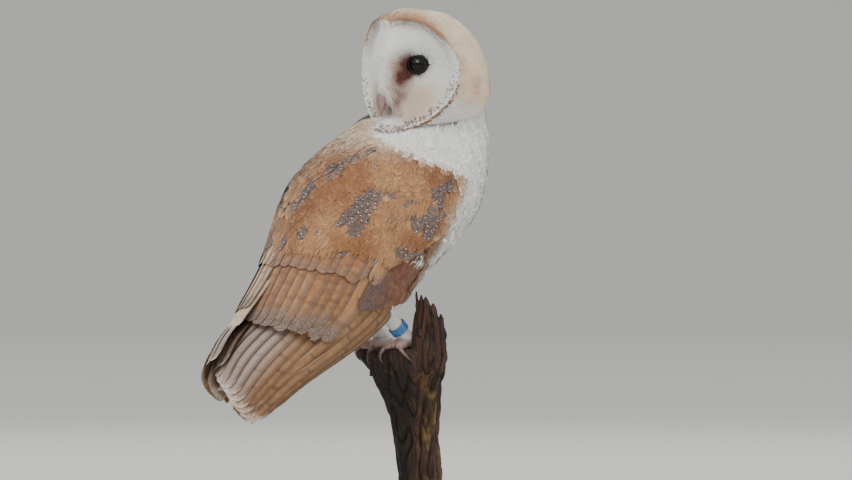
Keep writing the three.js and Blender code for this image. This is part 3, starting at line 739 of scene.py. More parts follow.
CAPE_PEPPER = (
    (0.17, 42, 0.016, 5), (0.2, 34, 0.02, 6), (0.245, 25, 0.03, 6), (0.31, 13, 0.035, 6), (0.365, 7, 0.03, 6),
    (0.215, 49, 0.01, 5),
)


def from_back(turn):
    """Turn away from the back line, the same on both sides."""
    return np.abs(np.mod(np.asarray(turn) + 180, 360) - 180)


def white_from(t):
    """Turn from the back line where the gold of the back gives way to the white of the breast."""
    return np.interp(
        t,
        [0, 0.05, 0.1, 0.13, 0.15, 0.17, 0.19, 0.205, 0.23, 0.4, 0.45, 0.5, 0.6],
        [12, 20, 32, 45, 60, 75, 91, 105, 116, 122, 127, 134, 150],
    )


def pepper(t, turn, patches, points, seed):
    total = sum(bump(t, a, ra) * bump(from_back(turn), b, rb) for a, b, ra, rb in patches)
    return smooth(total + 0.3 * (blotch(points, 9, seed) - 0.5), 0.3, 0.5)


def gold_tint(points, t, turn, seed=0):
    """Colour of the back's feathers at their roots."""
    w = from_back(turn)
    rng = np.random.default_rng(seed)
    pale = smooth(blotch(points, 26, 3) + 0.25 * rng.normal(0, 0.35, len(points)), 0.45, 0.85)
    pale = np.maximum(pale, 0.7 * (1 - smooth(w, 2, 16)))
    pale = np.maximum(pale, 0.9 * bump(t, 0.43, 0.06) * bump(w, 38, 16))
    tint = lerp(tone("gold"), tone("pale_gold"), pale[:, None])
    deep = smooth(blotch(points, 20, 5), 0.55, 0.9) * 0.45
    tint = lerp(tint, tone("rufous"), deep[:, None])
    cream = 1 - smooth(t, 0.09, 0.22)
    tint = lerp(tint, tone("cream"), (0.85 * cream)[:, None])
    past = w - white_from(t) + 5 * (blotch(points, 7, 8) - 0.5) + 1.5 * rng.normal(0, 1, len(points))
    tint = lerp(tint, tone("cream"), (0.75 * smooth(past, -10, 0))[:, None])
    tint = lerp(tint, tone("white"), smooth(past, -3, 5)[:, None])
    return tint * (1 + 0.07 * rng.normal(0, 1, (len(points), 1)))


def crown_tint(points, angle, ring, seed=0):
    rng = np.random.default_rng(seed)
    buff = smooth(blotch(points, 16, 2), 0.4, 0.8) * 0.35
    tint = lerp(tone("cream"), tone("pale_gold"), buff[:, None])
    greyed = smooth(blotch(points, 7, 6), 0.5, 0.85) * 0.14
    tint = lerp(tint, tone("grey"), greyed[:, None])
    ahead, _, up = HEAD_AXES @ (points - HEAD_AT).T
    nape = bump(ahead, -42, 20) * bump(up, -14, 20) * smooth(blotch(points, 8, 4), 0.35, 0.65)
    tint = lerp(tint, lerp(tone("pale_gold"), tone("ruff"), 0.5), (0.6 * nape)[:, None])
    low = smooth(-np.sin(angle), 0.2, 0.55)
    pale = np.maximum(low * (1 - smooth(ring, 1.22, 1.42)), smooth(-np.sin(angle), 0.55, 0.9))
    tint = lerp(tint, tone("white"), (0.92 * pale)[:, None])
    band = 0.12 * (1 - smooth(ring, 1.03, 1.12)) * smooth(np.sin(angle), 0.4, 0.8)
    tint = lerp(tint, tone("ruff"), band[:, None])
    return tint * (1 + 0.06 * rng.normal(0, 1, (len(points), 1)))


def face_tint(points, y, z, seed=0):
    rng = np.random.default_rng(seed)
    w = np.abs(y)
    streak = blotch(np.stack([w * 1.6, z * 0.5, 0 * w], -1), 2.4, 7)
    tear = 1.2 * bump(w, 16.8, 3.3) * bump(z, 4.0, 9) + bump(w, 14.6, 3.2) * bump(z, -5, 4.5)
    tear = tear + 0.75 * bump(w, 12.4, 2.4) * bump(z, -10.5, 4)
    tear = tear * (0.8 + 0.5 * streak) + 0.45 * bump(w, 21, 4.5) * bump(z, -3.4, 1.5)
    dusk = smooth(-z, 2, 20) * bump(w, 22, 20)
    tint = lerp(tone("white"), lerp(tone("cream"), tone("grey"), 0.2), dusk[:, None])
    warm = 0.75 * bump(w, 12.2, 4.6) * bump(z, -1, 12)
    tint = lerp(tint, tone("ruff"), warm[:, None])
    gape = bump(w, 9.2, 3.8) * bump(z, -21, 5)
    tint = lerp(tint, lerp(tone("horn"), tone("tear"), 0.55), (0.95 * gape)[:, None])
    tint = lerp(tint, tone("tear"), np.clip(1.25 * tear, 0, 1)[:, None])
    core = bump(w, 17.6, 2.2) * bump(z, 2.5, 7.5)
    tint = lerp(tint, tone("ink"), (0.75 * core)[:, None])
    band = smooth(ring_of(y, z), 0.895, 0.935) * smooth(z, 15, 26)
    tint = lerp(tint, lerp(tone("ruff"), tone("rufous"), 0.2), (0.8 * band)[:, None])
    return tint * (1 + 0.035 * rng.normal(0, 1, (len(points), 1)))


# ------------------------------------------------------------------ feather materials
def plume_material():
    """Fine body feathers: one soft colour each, from the coat's own markings, and painted shade towards each root."""
    g = Graph("Plume", 0.78, Sheen_Weight=0.25, Sheen_Roughness=0.5)
    grain = g.noise(1.6, 3.0)
    across, along = g.vane()
    # painted shade: each vane darker towards its root, where it lies under the feathers above
    deep = (1 - along.step(0.0, 0.55)) * 0.12
    tint = g.mix(deep, g.mark("Tint", "Color"), (0.4, 0.34, 0.3), "MULTIPLY")
    return g.paint(g.mix(grain.step(0.3, 0.75) * 0.1, tint, (0.78, 0.75, 0.72), "MULTIPLY"))


def spotted(g, across, along, base):
    """A row of two pale spots on dark ones along the shaft."""
    spot = g.mark("spot")
    off = abs(across - 0.5)
    for centre, width, reach, value in ((0.84, 0.11, 0.055, tone("ink")), (0.9, 0.07, 0.028, tone("white"))):
        far = (off / width) ** 2 + (abs(along - centre) / reach) ** 2
        base = g.mix(far.step(1.15, 0.75) * spot * 0.8, base, tuple(value))
    return base


def covert_material():
    """Gold feathers of the back and wings, some peppered with grey towards the tip, with painted shade towards their
    roots.
    """
    g = Graph("Covert", 0.72, Sheen_Weight=0.2, Sheen_Roughness=0.5)
    across, along = g.vane()
    base = g.mark("Tint", "Color")
    soft = g.noise(5.0, 2.0)
    base = g.mix(soft.step(0.35, 0.8) * 0.3, base, tuple(tone("pale_gold")))
    shaft = abs(across - 0.5).step(0.04, 0.01) * 0.15
    base = g.mix(shaft, base, tuple(tone("rufous")))
    fine = g.noise(0.9, 2.0)
    greys = g.mix(fine.step(0.4, 0.62), tuple(0.3 * tone("grey")), tuple(1.05 * tone("grey")))
    mask = (along + soft * 0.3 - 0.15).step(0.3, 0.55) * g.mark("pepper")
    base = g.mix(mask * fine.step(0.2, 0.42) * 0.85, base, greys)
    dots = g.cells(3.1)
    base = g.mix(mask * dots.step(0.26, 0.18) * 0.6, base, tuple(tone("ink")))
    base = g.mix(mask * dots.step(0.12, 0.06) * 0.6, base, tuple(tone("white")))
    base = spotted(g, across, along, base)
    # painted shade: each vane darker towards its root, under the feathers that overlap it
    deep = (1 - along.step(0.05, 0.6)) * 0.3
    g.bump(g.noise(0.8, 2.0, g.place()), 0.25, 0.5)
    return g.paint(g.mix(deep, base, (0.45, 0.33, 0.26), "MULTIPLY"))


def finger_material():
    """Secondaries and the great coverts: gold along the shaft, grey-brown webs and a mottled tip."""
    g = Graph("Secondary", 0.72, Sheen_Weight=0.15)
    across, along = g.vane()
    fine, soft = g.noise(0.9, 2.0), g.noise(4.0, 2.0)
    streaks = g.noise(1.6, 3.0, g.place((1, 1, 0.25)))
    base = g.mix(soft.step(0.35, 0.75) * 0.6, g.mark("Tint", "Color"), tuple(tone("pale_gold")))
    web = tuple(lerp(tone("grey"), tone("brown"), 0.6))
    edge = (across + streaks * 0.16).step(0.62, 0.98)
    base = g.mix(edge * 0.62, base, web)
    base = g.mix((across - streaks * 0.1).step(0.12, 0.0) * 0.45, base, tuple(lerp(tone("pale_gold"), tone("white"), 0.4)))
    tip = (along + soft * 0.2).step(0.8, 1.06) * g.mark("tipped")
    mottle = g.mix(fine.step(0.42, 0.6), tuple(lerp(tone("cream"), tone("grey"), 0.82)), tuple(lerp(tone("brown"), tone("grey"), 0.25)))
    base = g.mix(tip, base, mottle)
    bars = ((along * 3.7 + g.mark("phase")).fraction() - 0.5) ** 2
    marked = (across + streaks * 0.5).step(0.55, 0.8)
    base = g.mix(bars.step(0.012, 0.001) * marked * 0.32, base, tuple(tone("brown")))
    base = g.mix(abs(across - 0.42).step(0.03, 0.01) * 0.3, base, tuple(tone("brown")))
    base = g.mix(fine.step(0.52, 0.68) * 0.25, base, tuple(tone("brown")))
    return g.paint(base)


def quill_material():
    """Primaries and tail: pale gold with short narrow bars, painted shade along the inner edges and a pale peppered
    tip.
    """
    g = Graph("Flight", 0.64, Sheen_Weight=0.1)
    across, along = g.vane()
    fine, soft = g.noise(0.8, 2.0), g.noise(5.0, 2.0)
    streaks = g.noise(1.2, 3.0, g.place((1, 1, 0.3)))
    base = g.mix(soft.step(0.3, 0.8) * 0.5, g.mark("Tint", "Color"), tuple(tone("pale_gold")))
    lavender = tuple(lerp(lerp(tone("grey"), tone("white"), 0.28), tone("pale_gold"), 0.3))
    web = g.mark("web")
    base = g.mix((web * 0.85 + streaks.step(0.35, 0.75) * 0.25 * web), base, lavender)
    bars = ((along * 5.2 + soft * 0.1 + g.mark("phase")).fraction() - 0.5) ** 2
    marked = (across + streaks * 0.4).step(0.5, 0.75)
    base = g.mix(bars.step(0.0024, 0.0004) * (0.1 + marked * 0.42) * (1 - web * 0.6), base, tuple(tone("brown")))
    # painted shade: a dark brown strip along the inner edge, where the next feather overlaps
    base = g.mix(across.step(0.72, 0.98) * 0.75, base, tuple(1.05 * tone("brown")))
    base = g.mix(across.step(0.1, 0.0) * 0.3, base, tuple(tone("cream")))
    base = g.mix(abs(across - 0.3).step(0.03, 0.008) * 0.35, base, tuple(tone("brown")))
    tip = (along + soft * 0.05).step(0.985, 1.03)
    ends = g.mix(fine.step(0.45, 0.65), tuple(lerp(tone("white"), tone("cream"), 0.4)), lavender)
    base = g.mix(tip * 0.7, base, ends)
    base = g.mix(fine.step(0.45, 0.72) * (0.14 + web * 0.3), base, tuple(lerp(tone("brown"), tone("grey"), 0.5)))
    g.bump((along * 3 + abs(across - 0.3) * 2).fraction() * 0.3 + fine * 0.3, 0.15, 0.3)
    return g.paint(base)


MATERIALS = {}


def material(name):
    """Each finish is made once."""
    makers = {"plume": plume_material, "covert": covert_material, "finger": finger_material, "quill": quill_material}
    if name not in MATERIALS:
        MATERIALS[name] = makers[name]()
    return MATERIALS[name]


# ------------------------------------------------------------------ plumage operators
class Maker(bpy.types.Operator):
    """Base of the operators: each makes one group of pieces."""

    bl_idname = "owl.base"
    bl_label = "Base"
    bl_options = {"REGISTER", "UNDO"}

    def execute(self, context):
        self.build(context.scene.owl_plumage)
        return {"FINISHED"}


def tangent_course(surface, roots, vector):
    """Parameters' direction that follows a direction in space as nearly as the surface lets it."""
    _, _, a, b = surface.frame(roots)
    aa, ab, bb = (np.sum(p * q, -1) for p, q in ((a, a), (a, b), (b, b)))
    va, vb = np.sum(a * vector, -1), np.sum(b * vector, -1)
    det = np.maximum(aa * bb - ab * ab, 1e-9)
    return np.stack([(bb * va - ab * vb) / det, (aa * vb - ab * va) / det], -1)


def jitter(count, spread, seed):
    return 1 + spread * np.random.default_rng(seed).normal(0, 1, count)


def coat(surface, roots, toward, tint, size, width, low, high, seed, rows=2, columns=1, spread=0.15, stray=0.12,
         uneven=0.05, twist=0.08, wave=0.0, **more):
    """Short feathers or tufts from these roots, with their own small differences."""
    n = len(roots)
    rng = np.random.default_rng(seed)
    here, _, a, b = surface.frame(roots)
    clump = 0.6 * blotch(here * np.array([1, 1, 0.35]), 5, 14) + 0.4 * blotch(here * np.array([1, 1, 0.5]), 12, 15) - 0.5
    speed_a, speed_b = np.linalg.norm(a, axis=-1), np.linalg.norm(b, axis=-1)
    angle = rng.normal(0, stray, n)
    u, v = toward[:, 0] * speed_a, toward[:, 1] * speed_b
    turned = np.stack([(u * np.cos(angle) - v * np.sin(angle)) / speed_a, (u * np.sin(angle) + v * np.cos(angle)) / speed_b], -1)
    track = surface.track(roots, turned, size * jitter(n, spread, seed + 1), rows)
    low, high = low + wave * clump, high + wave * clump
    # painted light and shade: raised clumps of the coat are coloured lighter and sunken ones darker
    tint = tint * (1 + 0.11 * wave * clump)[:, None]
    rise = high + uneven * rng.normal(0, 1, n) * (high - low)
    shape = dict(outline=barb, rounding=0.0, power=0.6) if columns == 1 else dict(outline=leaf, power=0.3)
    shape.update(more)
    return Vanes(surface, track, width * jitter(n, spread, seed + 2), low, rise, columns=columns, tint=tint,
                 roll=rng.normal(0, twist, n), seed=seed, **shape)


def in_head(points):
    """Whether a place lies inside the head."""
    c, s = math.cos(-YAW), math.sin(-YAW)
    p = points - HEAD_AT
    x, y, z = c * p[..., 0] - s * p[..., 1], s * p[..., 0] + c * p[..., 1], p[..., 2]
    disc = (ring_of(y, z) < 1.03) & (x > 0) & (x < 44)
    return disc | (((x - 3) / 47) ** 2 + (y / 46) ** 2 + ((z + 2) / 42) ** 2 < 1)


class OWL_OT_crown(Maker):
    """Feathers of the crown, nape and cheeks behind the ruff"""

    bl_idname = "owl.crown"
    bl_label = "Crown and nape"

    def build(self, plumage):
        depth = plumage.head_depth / MM
        for name, size, width, spacing, columns, seed in (
            ("coat_crown", 8.0, 2.3, 2.0, 4, 11), ("coat_crown_down", 5.2, 0.4, 0.9, 1, 12),
        ):
            roots = HEAD.sow((0, 1.03), (2 * math.pi, 1.97), spacing / math.sqrt(plumage.density), seed)
            here = HEAD.frame(roots)[0]
            back = -(here - HEAD_AT) @ np.array([math.cos(YAW), math.sin(YAW), 0]) + 14
            k = smooth(back / 65, 0.1, 1.1)[:, None]
            course = np.array([-math.cos(YAW), -math.sin(YAW), 0]) * (1 - k) + np.array([0, 0, -1.0]) * k
            toward = tangent_course(HEAD, roots, course)
            tint = crown_tint(here, roots[:, 0], roots[:, 1], seed)
            low, high = (-0.9 * depth, -0.3) if columns > 1 else (-0.9, 0.1)
            batch = coat(HEAD, roots, toward, tint, size, width, low, high, seed, columns=columns, twist=0.05,
                         rows=3 if columns > 1 else 2, fray=0.03 if columns > 1 else 0.0, wave=0.5)
            join_vanes(name, [batch], material("plume"))


class OWL_OT_face(Maker):
    """Fine feathers that fan out from the eyes over the facial disc"""

    bl_idname = "owl.face"
    bl_label = "Facial disc"

    def build(self, plumage):
        depth = plumage.face_depth / MM
        batches = []
        for size, width, spacing, columns, seed in ((5.0, 1.3, 1.5, 2, 20), (6.5, 0.4, 0.8, 1, 21), (4.6, 0.24, 0.9, 1, 22)):
            roots = FACE.sow(
                (-54, -47), (54, 42), spacing / math.sqrt(plumage.density), seed,
                lambda y, z: (ring_of(y, z) < 0.97) & ~((np.abs(y) < 4.5) & (z < -18) & (z > -34)),
            )
            round_eye = np.hypot(np.abs(roots[:, 0]) - LID[0], (roots[:, 1] - LID[1]) * 1.08)
            roots = roots[round_eye > (8.2 if columns > 1 else 6.9)]
            y, z = roots[:, 0], roots[:, 1]
            w = np.abs(y)
            dy = (w - LID[0]) * np.where(w < LID[0], smooth(w, 0, 10), 1)
            dz = z - LID[1] + 15 * bump(w, 0, 9) * smooth(z, -16, -4)
            toward = unit(np.stack([np.sign(y) * dy, dz], -1))
            near = np.hypot(w - LID[0], z - LID[1])
            size_here = size * lerp(0.35, 1, smooth(near, 7, 20)) * (1 - 0.4 * smooth(ring_of(y, z), 0.8, 0.95))
            near_rim, ends = ring_of(y, z), roots + toward * size_here[:, None]
            past = np.maximum(ring_of(ends[:, 0], ends[:, 1]) - near_rim, 1e-3)
            size_here = size_here * np.clip((0.99 - near_rim) / past, 0.15, 1)
            here = FACE.frame(roots)[0]
            low, high = (-depth, 0.05) if columns > 1 else (-0.7, 0.3)
            ends = roots + toward * size_here[:, None]
            batches.append(coat(FACE, roots, toward, face_tint(here, y, z, seed), size_here, width, low, high, seed,
                                columns=columns, stray=0.2, twist=0.05, tip=face_tint(here, *ends.T, seed)))
        batches += [*self.bristles(), *self.edges()]
        join_vanes("coat_face", batches, material("plume"))

    @staticmethod
    def edges():
        """Loose down along the ridge between the eyes, and inside the upper rim."""
        rng = np.random.default_rng(29)
        y, z = rng.uniform(-13, 6, 1500), rng.uniform(-12, 37, 1500)
        roots = np.stack([y, z], -1)
        toward = unit(np.stack([-0.9 + 0.4 * rng.normal(0, 1, 1500), 0.7 + 0.4 * rng.normal(0, 1, 1500)], -1))
        tint = np.broadcast_to(tone("white"), (1500, 3))
        yield coat(FACE, roots, toward, tint, 6.5, 0.24, -0.4, 1.5, 30, rows=3)
        roots = np.stack([rng.uniform(0.1, math.pi - 0.1, 2600), rng.uniform(0.84, 0.97, 2600)], -1)
        toward = np.stack([0.01 * rng.normal(0, 1, 2600), np.ones(2600)], -1)
        y, z = disc_outline(roots[:, 0])
        tint = face_tint(HEAD.frame(roots)[0], y * (roots[:, 1] + 0.02), z * (roots[:, 1] + 0.02), 33)
        yield coat(HEAD, roots, toward, tint, 4.6, 0.4, -0.8, 0.5, 31)

    @staticmethod
    def bristles():
        """Longer bristles that lean over the sides of the bill."""
        rng = np.random.default_rng(26)
        n = 900
        side = np.where(rng.random(n) < 0.5, -1, 1)
        z = rng.uniform(-31, -13, n)
        w = rng.uniform(4.6, 9.5, n)
        roots = np.stack([side * w, z], -1)
        here = FACE.frame(roots)[0]
        toward = unit(np.stack([-0.25 * side + 0.12 * rng.normal(0, 1, n), np.full(n, -1.0)], -1))
        tint = face_tint(here, roots[:, 0], roots[:, 1], 27)
        yield coat(FACE, roots, toward, tint, 8.0, 0.26, -0.6, 0.9, 28, stray=0.15)
        n = 420
        y = rng.uniform(1.5, 6.5, n) * np.where(rng.random(n) < 0.5, -1, 1)
        roots = np.stack([y, rng.uniform(-17, -7, n)], -1)
        toward = unit(np.stack([-0.12 * np.sign(y) + 0.1 * rng.normal(0, 1, n), np.full(n, -1.0)], -1))
        tint = lerp(tone("white"), tone("cream"), 0.5 * rng.random((n, 1)))
        yield coat(FACE, roots, toward, tint, 10.0, 0.24, -0.4, 3.4, 34, rows=3, stray=0.1, spread=0.3)


class OWL_OT_ruff(Maker):
    """Rows of stiff feathers along the rim of the facial disc"""

    bl_idname = "owl.ruff"
    bl_label = "Ruff"

    def build(self, plumage):
        rng = np.random.default_rng(5)
        batches = []
        for ring, size, width, high, count, kind in (
            (0.80, 5.5, 0.5, 0.5, 640, "inner"),
            (0.845, 5.5, 0.5, 0.6, 640, "inner"),
            (0.90, 5.5, 0.55, 0.7, 700, "white"),
            (0.955, 4.6, 0.6, 0.9, 700, "edge"),
            (1.0, 3.8, 0.5, 0.7, 1300, "outer"),
            (1.02, 3.2, 0.5, 0.35, 900, "far"),
        ):
            angle = (np.arange(count) + 0.3 * rng.normal(0, 1, count)) / count * 2 * math.pi
            low = smooth(-np.sin(angle), -0.05, 0.4)
            if kind == "inner":
                kept = (low > 0.02) & (np.abs(np.cos(angle)) > 0.12)
                angle, low = angle[kept], low[kept]
            rings = ring + 0.014 * rng.normal(0, 1, len(angle)) + (0.06 * (1 - low) if kind == "inner" else 0)
            roots = np.stack([angle, rings], -1)
            n = len(roots)
            high_up = smooth(np.sin(angle), 0.3, 0.62)[:, None]
            chin = smooth(-np.sin(angle), 0.55, 0.92)
            dark = np.clip(rng.normal(0.5, 0.4, n), 0, 1)[:, None]
            speckle = lerp(lerp(tone("ruff"), tone("grey"), 0.35), 0.4 * tone("brown"), dark)
            pale = np.broadcast_to(tone("white"), (n, 3)) * jitter(n, 0.05, int(ring * 100))[:, None]
            rim = lerp(tone("ruff"), 0.8 * tone("rufous"), 0.45 * dark)
            crown = crown_tint(HEAD.frame(roots)[0], angle, rings, 6)
            if kind == "white":
                tint, tip = pale, lerp(pale, rim, 0.85 * high_up)
            elif kind == "inner":
                spot = rng.random(n) < (0.16 if ring < 0.82 else 0.4) + 0.4 * chin
                tint, tip = pale, np.where(spot[:, None], speckle, lerp(pale, tone("cream"), 0.5 * chin[:, None]))
            elif kind == "edge":
                tint, tip = lerp(pale, rim, high_up), lerp(pale, lerp(rim, crown, 0.4), high_up)
            else:
                spot = rng.random(n) < (0.9 if kind == "outer" else 0.12) * low + 0.3 * chin
                below = np.where(spot[:, None], lerp(speckle, tone("ruff"), 0.35), lerp(pale, tone("ruff"), 0.25))
                if kind == "far":
                    below = lerp(below, crown, 0.8)
                tint = tip = lerp(below, lerp(rim, crown, 0.2 if kind == "outer" else 0.6), high_up)
            toward = np.stack([np.zeros(n), np.ones(n)], -1)
            longer = {"inner": 1, "white": 1, "edge": 1 - 0.45 * high_up[:, 0]}.get(kind, 0.55 + 0.4 * high_up[:, 0])
            reach = size * longer * jitter(n, 0.12, 7)
            if ring < 1:
                track = HEAD.track(roots, toward, reach, 3)
                track[..., 1] = np.minimum(track[..., 1], 1.012)
            else:  # the head turns sharply behind the rim, where a straight track would run too far
                track = roots[:, None] + toward[:, None] * (reach / 85)[:, None, None] * np.linspace(0, 1, 4)[None, :, None]
            batches.append(Vanes(HEAD, track, width * jitter(n, 0.15, 8), -0.8, high * jitter(n, 0.15, 9),
                                 outline=quill, columns=2, rounding=0.8, cup=0.15, tint=tint, tip=tip,
                                 roll=rng.normal(0, 0.15, n)))
        batches.append(self.chin(rng))
        join_vanes("coat_ruff", batches, material("plume"))

    @staticmethod
    def chin(rng):
        """The end of the ruff under the chin, where it lies on the feathers of the neck."""
        n = 260
        share = rng.uniform(0, 1, n)
        line = [np.interp(share, [0, 0.35, 0.7, 1], row) for row in ((0.078, 0.083, 0.078, 0.062), (58, 47, 36, 25))]
        roots = np.stack(line, -1) + rng.normal(0, 1, (n, 2)) * np.array([0.006, 0.8])
        dark = rng.random(n)[:, None]
        speckle = lerp(lerp(tone("ruff"), tone("grey"), 0.7 * share[:, None]), 0.5 * tone("brown"), dark)
        pale = np.broadcast_to(tone("white"), (n, 3)) * jitter(n, 0.05, 3)[:, None]
        tip = np.where(rng.random((n, 1)) < lerp(0.8, 0.5, share[:, None]), speckle, pale)
        toward = np.broadcast_to([0.003, 0.0], (n, 2))
        return coat(TRUNK, roots, toward, pale, 5.0, 0.6, -0.4, 1.5, 36, rows=3, columns=2, tip=tip)


class OWL_OT_breast(Maker):
    """White feathers of the neck, breast and belly"""

    bl_idname = "owl.breast"
    bl_label = "Neck, breast and belly"

    def build(self, plumage):
        depth = plumage.body_depth / MM

        def bare_of_wings(t, turn):
            w = from_back(turn)
            clear = np.where(t > 0.14, w > leading_edge(t) - 7, w > white_from(t) - 6)
            return clear & ~in_head(envelope(t, turn, 3))

        for name, size, width, spacing, columns, seed, turns in (
            ("coat_breast", 12.0, 3.4, 3.1, 4, 31, (20, 340)), ("coat_breast_right", 8.0, 0.42, 0.9, 1, 32, (20, 180)),
            ("coat_breast_left", 8.0, 0.42, 0.9, 1, 33, (180, 340)),
        ):
            roots = TRUNK.sow((0.0, turns[0]), (0.6, turns[1]), spacing / math.sqrt(plumage.density), seed, bare_of_wings)
            here = TRUNK.frame(roots)[0]
            n = len(roots)
            side = np.sign(180 - np.mod(roots[:, 1], 360))
            toward = np.stack([np.full(n, 0.003), -0.25 * side * smooth(roots[:, 0], 0.15, 0.4)], -1)
            tint = gold_tint(here, roots[:, 0], roots[:, 1], seed)
            low, high = (-0.9 * depth, -0.4) if columns > 1 else (-1.2, 0.1)
            past = from_back(roots[:, 1]) - white_from(roots[:, 0])
            size_here = size * lerp(0.45, 1, smooth(past, -4, 14))
            batch = coat(TRUNK, roots, toward, tint, size_here, width, low, high, seed, columns=columns, twist=0.07,
                         wave=1.6, uneven=0.04, rows=3 if columns > 1 else 2, fray=0.05 if columns > 1 else 0.0)
            join_vanes(name, [batch], material("plume"))


class OWL_OT_mantle(Maker):
    """Cape of the back, with the long shoulder feathers that fall over the wings"""

    bl_idname = "owl.mantle"
    bl_label = "Mantle and shoulders"

    def build(self, plumage):
        depth = plumage.body_depth / MM
        rng = np.random.default_rng(41)

        def cape(t, turn):
            w = from_back(turn)
            edge = np.where(t < 0.135, white_from(t) + 4, inner_edge(t) + 5)
            return (w < edge) & ~in_head(envelope(t, turn, 3))

        batches = []
        roots = TRUNK.sow((0.0, -62), (0.385, 62), 3.9, 42, cape)
        here = TRUNK.frame(roots)[0]
        n = len(roots)
        grey = pepper(roots[:, 0] + 0.02, roots[:, 1], CAPE_PEPPER, here, 1)
        spot = (rng.random(n) < plumage.spots) * smooth(grey, 0.2, 0.5) + (rng.random(n) < 0.05)
        size = lerp(10, 17, smooth(roots[:, 0], 0.1, 0.3))
        toward = np.stack([np.full(n, 0.003), 0.12 * np.sign(roots[:, 1])], -1)
        batches.append(coat(TRUNK, roots, toward, gold_tint(here, roots[:, 0], roots[:, 1], 43), size,
                            lerp(3.2, 4.8, smooth(roots[:, 0], 0.1, 0.3)), -0.9 * depth, 0.1, 44, rows=5, columns=6,
                            stray=0.08, twist=0.05, wave=0.9, uneven=0.03, fray=0.025, cup=0.03, pepper=grey,
                            spot=spot))
        join_vanes("coat_mantle", batches, material("covert"))
        roots = TRUNK.sow((0.0, -60), (0.39, 60), 1.15, 45, cape)
        here = TRUNK.frame(roots)[0]
        grey = pepper(roots[:, 0], roots[:, 1], CAPE_PEPPER, here, 1)
        keep = grey < 0.2
        roots, here = roots[keep], here[keep]
        toward = np.stack([np.full(len(roots), 0.003), 0.12 * np.sign(roots[:, 1])], -1)
        tint = gold_tint(here, roots[:, 0], roots[:, 1], 46)
        join_vanes("coat_mantle_down", [coat(TRUNK, roots, toward, tint, 7.5, 0.42, -1.1, 0.45, 47, wave=0.9)], material("plume"))


